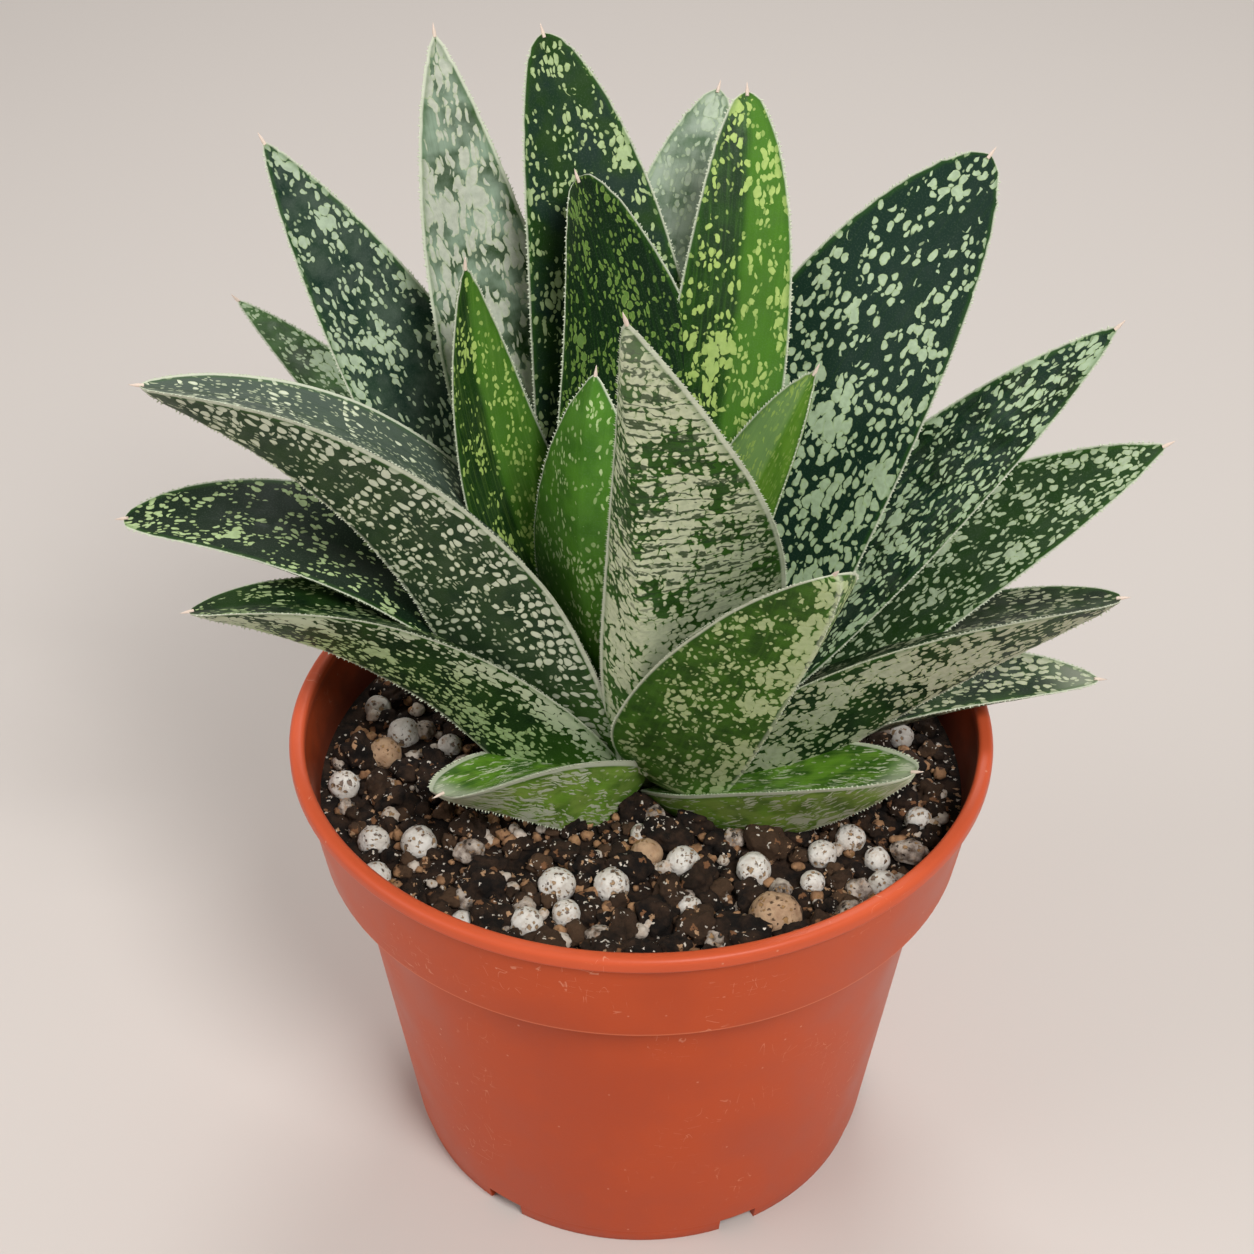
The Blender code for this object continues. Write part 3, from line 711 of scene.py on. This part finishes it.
def tooth_root(leaf, point, along, side):
    """Where a tooth stands, and the directions out of the leaf and across the tooth's flat."""
    half = leaf_width(leaf, along) / 2
    if side:
        return point.place + point.sideways * side * (half - 0.12), point.sideways * side, point.upward
    depth = leaf_thickness(leaf, along) + EDGE_ROUND - 0.15
    root = point.place - point.upward * depth + point.sideways * leaf.keel * half
    return root, -point.upward, point.sideways


def add_teeth(shell, spine, leaf, name, seed, shift):
    """Small pale teeth along both margins, and along the keel of a keeled leaf, where side is 0."""
    rng = random.Random(seed)
    for side in (1.0, -1.0, 0.0) if name in KEELED else (1.0, -1.0):
        along = TEETH_FROM if side else KEEL_TEETH_FROM
        while along < TEETH_TO:
            point = at(spine, along)
            root, outward, flat = tooth_root(leaf, point, along, side)
            size = rng.uniform(0.7, 1.15)
            slant = point.forward * rng.uniform(0.35, 0.7)
            apex = root + (outward + slant).normalized() * TOOTH_HEIGHT * size
            long = point.forward * TOOTH_HALF * size
            thick = flat * TOOTH_HALF * 0.6 * size
            foot = [shell.vert(root + move) for move in (long, thick, -long, -thick)]
            top = shell.vert(apex)
            margin = (0.0, along * leaf.length + shift, 0.0, along)
            for k in range(4):
                shell.face((foot[k], foot[(k + 1) % 4], top), margin)
            shell.face(foot[::-1], margin)
            along += TOOTH_SPACING * rng.uniform(0.75, 1.25) / leaf.length


def make_leaves():
    for seed, (name, leaf) in enumerate(sorted(LEAVES.items()), start=1):
        material = leaf_skin(name, LOOKS.get(name, PLAIN))
        piece = leaf_piece(name, leaf, material, seed)
        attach(piece, "root")
        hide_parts(name)


# ---- pot ----

POT_SEGMENTS = 144
CUT_DEPTH = 8.0
LIP_ROUND = 1.0
LIP_BOTTOM = POT_HEIGHT - LIP_HEIGHT
PLATE_TOP = PLATE_BOTTOM + WALL
# The line half way through the collar's wall: radius = WALL_MIDDLE + WALL_SLOPE * height.
WALL_SLOPE = (COLLAR_TOP_RADIUS - COLLAR_RADIUS) / (LIP_BOTTOM - COLLAR_BOTTOM)
WALL_MIDDLE = COLLAR_RADIUS - WALL / 2 - WALL_SLOPE * COLLAR_BOTTOM


def body_wall(height):
    return FOOT_RADIUS + (BODY_TOP_RADIUS - FOOT_RADIUS) * height / BODY_TOP


def arc(centre_radius, centre_height, size, start, end, steps):
    points = []
    for index in range(steps + 1):
        angle = math.radians(start + (end - start) * index / steps)
        points.append((centre_radius + size * math.cos(angle), centre_height + size * math.sin(angle)))
    return points


def pot_inside():
    """From the middle of the floor plate up to the lip."""
    floor_edge = body_wall(PLATE_TOP) - WALL - 2
    body = BODY_TOP_RADIUS - WALL
    collar = COLLAR_RADIUS - WALL
    lip = RIM_RADIUS - 2 * WALL
    return [
        (0, PLATE_TOP), (floor_edge, PLATE_TOP), *arc(floor_edge, PLATE_TOP + 2, 2, -90, -8, 5),
        (body, BODY_TOP + 0.6), (body + 0.5, BODY_TOP + WALL),
        (collar - 0.4, COLLAR_BOTTOM + WALL), (collar, COLLAR_BOTTOM + WALL + 0.6),
        (lip - 0.15, LIP_BOTTOM - 0.4), (lip, LIP_BOTTOM),
        *arc(lip + 0.9, POT_HEIGHT - 0.9, 0.9, 180, 90, 5),
    ]


def pot_outside():
    """From the top of the lip down to the foot ring, and in to the middle of the plate's underside."""
    step = body_wall(FOOT_HEIGHT) + FOOT_STEP
    foot = FOOT_RADIUS - WALL
    return [
        *arc(RIM_RADIUS - LIP_ROUND, POT_HEIGHT - LIP_ROUND, LIP_ROUND, 90, 0, 5),
        *arc(RIM_RADIUS - 0.6, LIP_BOTTOM + 0.6, 0.6, 0, -80, 4),
        (COLLAR_TOP_RADIUS + 0.1, LIP_BOTTOM - 0.05), (COLLAR_TOP_RADIUS, LIP_BOTTOM - 0.4),
        *arc(COLLAR_RADIUS - 0.3, COLLAR_BOTTOM + 0.3, 0.3, -5, -85, 3),
        (COLLAR_RADIUS - 1.5, COLLAR_BOTTOM - 0.4), (BODY_TOP_RADIUS + 0.8, BODY_TOP + 0.3),
        (BODY_TOP_RADIUS + 0.1, BODY_TOP - 0.2), (BODY_TOP_RADIUS - 0.15, BODY_TOP - 1.0),
        (step, FOOT_HEIGHT + 0.4), (step - 0.12, FOOT_HEIGHT + 0.1), (step - FOOT_STEP, FOOT_HEIGHT),
        (FOOT_RADIUS, 0.3), (FOOT_RADIUS - 0.25, 0), (foot + 0.2, 0), (foot, 0.2),
        (foot, PLATE_BOTTOM - 0.3), (foot - 0.3, PLATE_BOTTOM), (0, PLATE_BOTTOM),
    ]


def turned(name, profile, segments):
    """Turn a closed profile that starts and ends on the axis into a closed mesh."""
    bm = bmesh.new()
    angles = [math.tau * k / segments for k in range(segments)]
    rings = []
    for radius, height in profile:
        spots = [(radius * math.cos(angle), radius * math.sin(angle), height) for angle in angles]
        if radius == 0:
            spots = [(0, 0, height)]
        rings.append([bm.verts.new((x * MM, y * MM, z * MM)) for x, y, z in spots])
    for lower, upper in zip(rings, rings[1:]):
        for k in range(segments):
            n = (k + 1) % segments
            if len(lower) == 1:
                bm.faces.new((lower[0], upper[n], upper[k]))
            elif len(upper) == 1:
                bm.faces.new((lower[k], lower[n], upper[0]))
            else:
                bm.faces.new((lower[k], lower[n], upper[n], upper[k]))
    bmesh.ops.recalc_face_normals(bm, faces=bm.faces)
    return bmesh_object(name, bm)


def pot_cutter():
    """Boxes for the notches in the foot ring, and cylinders for the drain holes in the plate."""
    bm = bmesh.new()
    for index in range(NOTCH_COUNT):
        turn = Matrix.Rotation(math.radians(FIRST_NOTCH + index * 360 / NOTCH_COUNT), 4, "Z")
        out = Matrix.Translation(((FOOT_RADIUS - WALL / 2) * MM, 0, 0))
        size = Matrix.Diagonal((CUT_DEPTH * MM, NOTCH_WIDTH * MM, 2 * NOTCH_HEIGHT * MM, 1))
        bmesh.ops.create_cube(bm, size=1, matrix=turn @ out @ size)
    for index in range(DRAIN_COUNT):
        spot = around(DRAIN_CIRCLE, index * 360 / DRAIN_COUNT, PLATE_BOTTOM + 0.6)
        bmesh.ops.create_cone(bm, cap_ends=True, segments=24, radius1=DRAIN_RADIUS * MM,
                              radius2=DRAIN_RADIUS * MM, depth=CUT_DEPTH * MM,
                              matrix=Matrix.Translation(spot * MM))
    return bmesh_object("pot_cutter", bm)


def cut(obj, cutter):
    """Take the cutter out of the object's mesh, and remove the cutter."""
    modifier = obj.modifiers.new("cut", "BOOLEAN")
    modifier.operation = "DIFFERENCE"
    modifier.solver = "EXACT"
    modifier.object = cutter
    bpy.context.view_layer.update()
    evaluated = obj.evaluated_get(bpy.context.evaluated_depsgraph_get())
    mesh = bpy.data.meshes.new_from_object(evaluated)
    obj.modifiers.clear()
    obj.data = mesh
    bpy.data.objects.remove(cutter)


def worn(t, mm, colour):
    """The colour with dust, dull patches and fine scratches."""
    distance, draw = t.cells(mm, 0.35)
    dust = t.times(t.step(distance, 0.10, 0.04), t.math("LESS_THAN", draw[0], 0.3))
    colour = t.mix(t.times(dust, 0.45), colour, (0.72, 0.42, 0.30))
    dulled = t.noise(t.scaled(mm, (1.0, 1.0, 0.15)), 1.2, 3.0, 0.6)
    colour = t.mix(t.step(dulled, 0.68, 0.82, 0.0, 0.25), colour, (0.62, 0.26, 0.16))
    rubbed = t.times(t.step(t.noise(mm, 0.05), 0.56, 0.64), t.step(t.noise(mm, 0.7, 1.0), 0.50, 0.58))
    for squash, scale in (((1.0, 1.0, 0.22), 0.42), ((0.22, 0.22, 1.0), 0.46)):
        path = t.noise(t.scaled(mm, squash), scale, 0.0)
        scratch = t.step(t.math("ABSOLUTE", t.math("SUBTRACT", path, 0.5)), 0.008, 0.002)
        colour = t.mix(t.times(t.times(scratch, rubbed), 0.4), colour, (0.80, 0.42, 0.28))
    return colour


def collar_edge(t, height, distance, colour):
    """The colour with a painted highlight line on the collar's bottom edge and painted shade just under it.
    """
    outer = t.math("GREATER_THAN", distance, COLLAR_RADIUS - 0.6)
    collar_edge_highlight = t.times(t.step(height, COLLAR_BOTTOM + 0.55, COLLAR_BOTTOM + 0.3), outer)
    colour = t.mix(t.times(collar_edge_highlight, 0.45), colour, (0.78, 0.26, 0.12))
    shade_under_collar_edge = t.times(t.step(height, COLLAR_BOTTOM - 3.2, COLLAR_BOTTOM - 2.0),
                     t.step(height, COLLAR_BOTTOM + 0.1, COLLAR_BOTTOM))
    return t.mix(t.times(shade_under_collar_edge, 0.6), colour, (0.20, 0.028, 0.008))


def painted_inner_shade(t, mm, height, distance, colour):
    """The colour with painted shade on the inside of the collar, darkest towards the soil."""
    inside = t.math("LESS_THAN", t.math("SUBTRACT", distance, t.times(height, WALL_SLOPE)), WALL_MIDDLE)
    ragged = t.math("ADD", height, t.times(t.noise(mm, 0.3, 4.0), 6.0))
    inner_shade_depth = t.step(ragged, 89.0, 78.0, 0.45, 0.9)
    in_collar = t.times(t.step(height, COLLAR_BOTTOM, COLLAR_BOTTOM + 1), t.step(height, 85.6, 84.8))
    return t.mix(t.times(t.times(inner_shade_depth, in_collar), inside), colour, (0.060, 0.016, 0.009))


def pot_plastic():
    t = material_tree("pot_plastic")
    mm = t.place()
    height = t.split(mm)[2]
    distance = t.length(t.scaled(mm, (1.0, 1.0, 0.0)))
    cloud = t.noise(mm, 0.05, 3.0)
    colour = t.mix(t.step(cloud, 0.35, 0.65), (0.48, 0.059, 0.009), (0.54, 0.071, 0.012))
    # Painted highlight: the lip is painted lighter than the body.
    lip = t.step(height, 84.2, 84.9)
    colour = t.mix(t.times(lip, 0.55), colour, (0.66, 0.115, 0.050))
    colour = worn(t, mm, colour)
    # Painted highlight on the collar's bottom edge, and painted shade on the body just under it.
    colour = collar_edge(t, height, distance, colour)
    # Painted shade darkens the inside of the collar.
    colour = painted_inner_shade(t, mm, height, distance, colour)
    grain = t.noise(mm, 2.2, 3.0)
    return t.finish(colour, t.step(cloud, 0.3, 0.7, 0.34, 0.46), t.bump(grain, 0.2, 0.06), 0.22)


def make_pot():
    pot = turned("pot_shell", pot_inside() + pot_outside(), POT_SEGMENTS)
    cut(pot, pot_cutter())
    pot.data.materials.clear()
    pot.data.materials.append(pot_plastic())
    pot.data.shade_smooth()
    pot.data.set_sharp_from_angle(angle=math.radians(38))
    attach(pot, "root")
    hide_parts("pot")


# ---- soil ----

SOIL_SEGMENTS = 128
SOIL_RINGS = 60
BARE_MIDDLE = 7.0
SPREAD_LIMIT = 54.0
TRIES = 12

# A kind of loose lump: its least and greatest radius, how rough it is, the share of it below the surface,
# how close two may lie, and its brightest tone.
Kind = namedtuple("Kind", "piece count sizes detail rough sunk gap tone slot")
KINDS = (
    Kind("peat_lumps", 115, (2.2, 4.0), 4, 0.50, 0.28, 0.82, 0.8, "peat_mix"),
    Kind("peat_crumbs", 450, (0.8, 2.0), 3, 0.50, 0.22, 0.58, 1.0, "peat_mix"),
    Kind("mottled_lumps", 48, (1.5, 2.6), 4, 0.25, 0.22, 0.45, 1.0, "peat_mix"),
    Kind("white_grit", 190, (0.5, 1.5), 3, 0.30, 0.15, 0.36, 1.0, "pumice_white"),
    Kind("rust_grit", 640, (0.35, 1.2), 2, 0.45, 0.12, 0.26, 1.0, "tan_stone"),
)

# A kind of stone: its material's name, its two colours, and its pits' colour and share.
Rock = namedtuple("Rock", "name body second pit pit_share")
ROCKS = {
    "mottled_lumps": Rock("mottled_bark", (0.52, 0.44, 0.37), (0.08, 0.048, 0.030),
                          (0.015, 0.009, 0.006), 0.6),
    "white_grit": Rock("white_grit", (0.62, 0.54, 0.46), (0.48, 0.39, 0.31), (0.20, 0.12, 0.07), 0.35),
    "rust_grit": Rock("rust_grit", (0.40, 0.22, 0.11), (0.20, 0.10, 0.05), (0.06, 0.03, 0.02), 0.3),
    "pumice": Rock("pumice_skin", (0.76, 0.72, 0.66), (0.62, 0.56, 0.49), (0.13, 0.065, 0.03), 0.62),
    "tan_stone": Rock("tan_skin", (0.50, 0.33, 0.20), (0.36, 0.22, 0.13), (0.07, 0.038, 0.02), 0.5),
}


def peat():
    """Dark crumbs with ragged chips of three colours. Attribute tone makes some lumps browner."""
    t = material_tree("peat")
    mm = t.place()
    cloud = t.noise(mm, 0.35, 4.0, 0.6)
    colour = t.mix(t.step(cloud, 0.35, 0.7), (0.006, 0.004, 0.003), (0.048, 0.026, 0.015))
    colour = t.mix(t.step(t.attribute("tone"), 0.5, 1.0, 0.0, 0.8), colour, (0.11, 0.060, 0.032))
    ragged = t.drift(mm, mm, 1.3, 2.0, (1.8, 1.8, 1.8))
    for scale, share, chip in ((0.50, 0.24, (0.24, 0.110, 0.050)), (0.7, 0.20, (0.52, 0.31, 0.17)),
                               (1.1, 0.17, (0.80, 0.72, 0.62))):
        distance, draw = t.cells(ragged, scale)
        near = t.step(distance, 0.34, 0.26)
        colour = t.mix(t.times(near, t.math("LESS_THAN", draw[0], share)), colour, chip)
    return t.finish(colour, 0.9, t.bump(t.noise(mm, 1.8, 5.0, 0.7), 1.0, 0.6), 0.25)


def pitted(rock):
    """Rough stone with dark or ochre pits of two sizes, and ochre stains."""
    t = material_tree(rock.name)
    mm = t.place()
    cloud = t.noise(mm, 0.5, 4.0, 0.6)
    colour = t.mix(t.step(cloud, 0.35, 0.7), rock.body, rock.second)
    stain = t.noise(mm, 0.9, 3.0, 0.6)
    colour = t.mix(t.step(stain, 0.56, 0.68, 0.0, 0.45), colour, (0.42, 0.24, 0.12))
    height = t.times(t.noise(mm, 2.6, 3.0, 0.6), 0.5)
    ragged = t.drift(mm, mm, 2.0, 2.0, (0.9, 0.9, 0.9))
    for scale, share in ((0.75, rock.pit_share), (1.4, rock.pit_share * 0.8)):
        distance, draw = t.cells(ragged, scale)
        few = t.math("LESS_THAN", draw[0], share)
        size = t.fit(draw[1], 0.26, 0.22)
        filling = t.mix(t.math("GREATER_THAN", draw[2], 0.4), rock.pit, (0.34, 0.19, 0.07))
        hole = t.times(t.step(t.math("SUBTRACT", size, distance), 0.0, 0.12), few)
        colour = t.mix(t.times(hole, 0.85), colour, filling)
        height = t.math("SUBTRACT", height, hole)
    return t.finish(colour, 0.88, t.bump(height, 0.9, 0.4), 0.25)


def soil_height(distance):
    return SOIL_TOP + (SOIL_EDGE - SOIL_TOP) * min(distance / COLLAR_RADIUS, 1)


def surface(x, y):
    """Height of the rough soil surface at a place, in millimetres. It calms down at the pot's wall."""
    distance = math.hypot(x, y)
    rough = noise.fractal(Vector((x * 0.16, y * 0.16, 4.0)), 0.7, 2.1, 4)
    calm = min(1.0, max(0.0, (55.2 - distance) / 3.0))
    return soil_height(distance) - 0.5 + rough * calm


def wall_radius(height):
    """The collar's inner radius at a height."""
    low = (COLLAR_BOTTOM + WALL, COLLAR_RADIUS - WALL)
    high = (LIP_BOTTOM, RIM_RADIUS - 2 * WALL)
    share = (height - low[0]) / (high[0] - low[0])
    return low[1] + share * (high[1] - low[1])


def make_soil(material):
    """A closed body that fills the pot, with a rough top."""
    edge = wall_radius(SOIL_EDGE) - 0.1
    profile = [(edge * ring / SOIL_RINGS, SOIL_TOP) for ring in range(SOIL_RINGS + 1)]
    profile += [
        (COLLAR_RADIUS - WALL - 0.6, COLLAR_BOTTOM + WALL), (BODY_TOP_RADIUS - WALL - 0.5, BODY_TOP + WALL),
        (body_wall(PLATE_TOP) - WALL - 2.5, PLATE_TOP + 0.3), (0, PLATE_TOP + 0.3),
    ]
    soil = turned("soil_body", profile, SOIL_SEGMENTS)
    for vert in soil.data.vertices:
        if vert.co.z > (SOIL_TOP - 0.01) * MM:
            vert.co.z = surface(vert.co.x / MM, vert.co.y / MM) * MM
    soil.data.attributes.new("tone", "FLOAT", "POINT")
    soil.data.materials.append(material)
    soil.data.shade_smooth()
    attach(soil, "root")
    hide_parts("soil")


class Heap:
    """One small lump, or many, in one mesh."""

    def __init__(self):
        self.bm = bmesh.new()
        self.tone = self.bm.verts.layers.float.new("tone")

    def lump(self, centre, radius, seed, squash, detail, rough, tone=0.0, pull=2.2):
        made = bmesh.ops.create_icosphere(self.bm, subdivisions=detail, radius=1.0)
        for vert in made["verts"]:
            direction = vert.co.normalized()
            swell = noise.fractal(direction * pull * 0.5 + Vector((seed, seed * 0.7, 0)), 0.8, 2.0, 3)
            shape = direction * (1 + rough * swell)
            vert.co = Vector([centre[i] + shape[i] * radius * squash[i] for i in range(3)]) * MM
            vert[self.tone] = tone

    def make(self, name, material, slot):
        obj = bmesh_object(name, self.bm)
        obj.data.materials.append(material)
        obj.data.shade_smooth()
        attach(obj, "root")
        return obj


def stone_spot(stone):
    height = soil_height(stone.distance) + stone.radius * (1 - 2 * STONE_SUNK)
    return around(stone.distance, stone.heading, height)


def clear_of_stones(x, y, radius):
    stones = [(stone_spot(stone), stone.radius) for stone in PUMICE + TAN_STONES]
    return all(math.hypot(spot.x - x, spot.y - y) >= (size + radius) * 0.75 for spot, size in stones)


def scatter(rng, heap, kind, placed):
    """Add lumps of one kind to the heap. placed lists the place and radius of every lump so far."""
    made = 0
    for _ in range(kind.count * TRIES):
        if made >= kind.count:
            return
        radius = rng.uniform(*kind.sizes)
        distance = math.sqrt(rng.random()) * (SPREAD_LIMIT - radius)
        heading = rng.uniform(0, math.tau)
        x = distance * math.cos(heading)
        y = distance * math.sin(heading)
        if distance < BARE_MIDDLE or not clear_of_stones(x, y, radius):
            continue
        if any(math.hypot(x - a, y - b) < (radius + other) * kind.gap for a, b, other in placed):
            continue
        placed.append((x, y, radius))
        squash = (rng.uniform(0.85, 1.15), rng.uniform(0.85, 1.15), rng.uniform(0.7, 0.95))
        centre = (x, y, surface(x, y) + radius * (1 - 2 * kind.sunk))
        seed = rng.uniform(0, 90)
        heap.lump(centre, radius, seed, squash, kind.detail, kind.rough, rng.uniform(0.0, kind.tone))
        made += 1


def make_soil_lumps(soil_material):
    rng = random.Random(7)
    placed = []
    for kind in KINDS:
        heap = Heap()
        scatter(rng, heap, kind, placed)
        material = pitted(ROCKS[kind.piece]) if kind.piece in ROCKS else soil_material
        heap.make(kind.piece, material, kind.slot)


def make_stones():
    rng = random.Random(3)
    for kind, stones, slot in (("pumice", PUMICE, "pumice_white"), ("tan_stone", TAN_STONES, "tan_stone")):
        material = pitted(ROCKS[kind])
        for index, stone in enumerate(stones, start=1):
            heap = Heap()
            squash = (rng.uniform(0.96, 1.03), rng.uniform(0.96, 1.03), rng.uniform(0.94, 1.0))
            heap.lump(stone_spot(stone), stone.radius, index * 5.3, squash, 5, 0.06, pull=3.0)
            piece = heap.make(f"{kind}_{index:02d}_skin", material, slot)
            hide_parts(f"{kind}_{index:02d}")


# ---- stem ----

def dress_stem():
    """Give the CAD stem a ringed green skin."""
    t = material_tree("stem_skin")
    rings = t.noise(t.scaled(t.place(), (0.2, 0.2, 1.4)), 1.0, 3.0)
    colour = t.mix(t.step(rings, 0.35, 0.65), (0.14, 0.22, 0.06), (0.34, 0.40, 0.18))
    material = t.finish(colour, 0.6, t.bump(rings, 0.5, 0.3))
    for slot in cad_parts["stem"].material_slots:
        slot.material = material


# ---- stage ----

FLOOR_SIZE = 3.0
FLOOR_COLOUR = (0.60, 0.55, 0.51)
BACKDROP_COLOUR = (0.63, 0.58, 0.54)
FADE_FROM = 500.0
FADE_TO = 1300.0
SKY_COLOUR = (1.0, 0.98, 0.96)
SKY_STRENGTH = 0.31
CAMERA_PLACE = (-2.4, -298.5, 321.6)
CAMERA_TILT = 35.9
CAMERA_LENS = 63.5
SENSOR_WIDTH = 36.0


def floor_paint():
    """Pale paint that fades into the backdrop's colour far from the pot, where a ray can see it."""
    t = material_tree("floor")
    t.finish(FLOOR_COLOUR, 0.9)
    far = t.times(t.step(t.length(t.place()), FADE_FROM, FADE_TO), t.seen())
    glow = t.add("ShaderNodeEmission", {"Color": BACKDROP_COLOUR})
    t.blend(far, t.nodes["Principled BSDF"], glow, "Material Output")
    return t.owner


def make_floor():
    bm = bmesh.new()
    bmesh.ops.create_grid(bm, x_segments=1, y_segments=1, size=FLOOR_SIZE)
    floor = bmesh_object("floor", bm)
    floor.data.materials.append(floor_paint())


def make_lamp(name, place, target_height, size, power):
    light = bpy.data.lights.new(name, "AREA")
    light.shape = "DISK"
    light.size = size
    light.energy = power
    lamp = new_object(name, light)
    lamp.location = place
    lamp.rotation_euler = (Vector((0, 0, target_height)) - Vector(place)).to_track_quat("-Z", "Y").to_euler()


def make_lights():
    make_lamp("key", (0.32, -0.66, 0.92), 0.10, 0.40, 9.4)
    make_lamp("fill", (-0.8, -0.3, 0.6), 0.10, 0.6, 2.7)
    make_lamp("back", (0.1, 0.6, 0.9), 0.12, 0.4, 4.2)


def make_world():
    """Soft light from all round. Seen directly, it has the backdrop's colour."""
    world = bpy.data.worlds.new("world")
    bpy.context.scene.world = world
    t = Tree(world)
    sky = t.nodes["Background"]
    t.put(sky.inputs["Color"], SKY_COLOUR)
    t.put(sky.inputs["Strength"], SKY_STRENGTH)
    backdrop = t.add("ShaderNodeBackground", {"Color": BACKDROP_COLOUR})
    t.blend(t.seen(), sky, backdrop, "World Output")


def make_camera():
    data = bpy.data.cameras.new("camera")
    data.sensor_width = SENSOR_WIDTH
    data.lens = CAMERA_LENS
    camera = new_object("camera", data)
    camera.location = Vector(CAMERA_PLACE) * MM
    camera.rotation_euler = (math.radians(90 - CAMERA_TILT), 0, 0)
    bpy.context.scene.camera = camera


bpy.context.scene.view_settings.view_transform = "Standard"
make_camera()
make_lights()
make_world()
make_floor()
make_pot()
peat_material = peat()
make_soil(peat_material)
make_soil_lumps(peat_material)
make_stones()
dress_stem()
make_leaves()
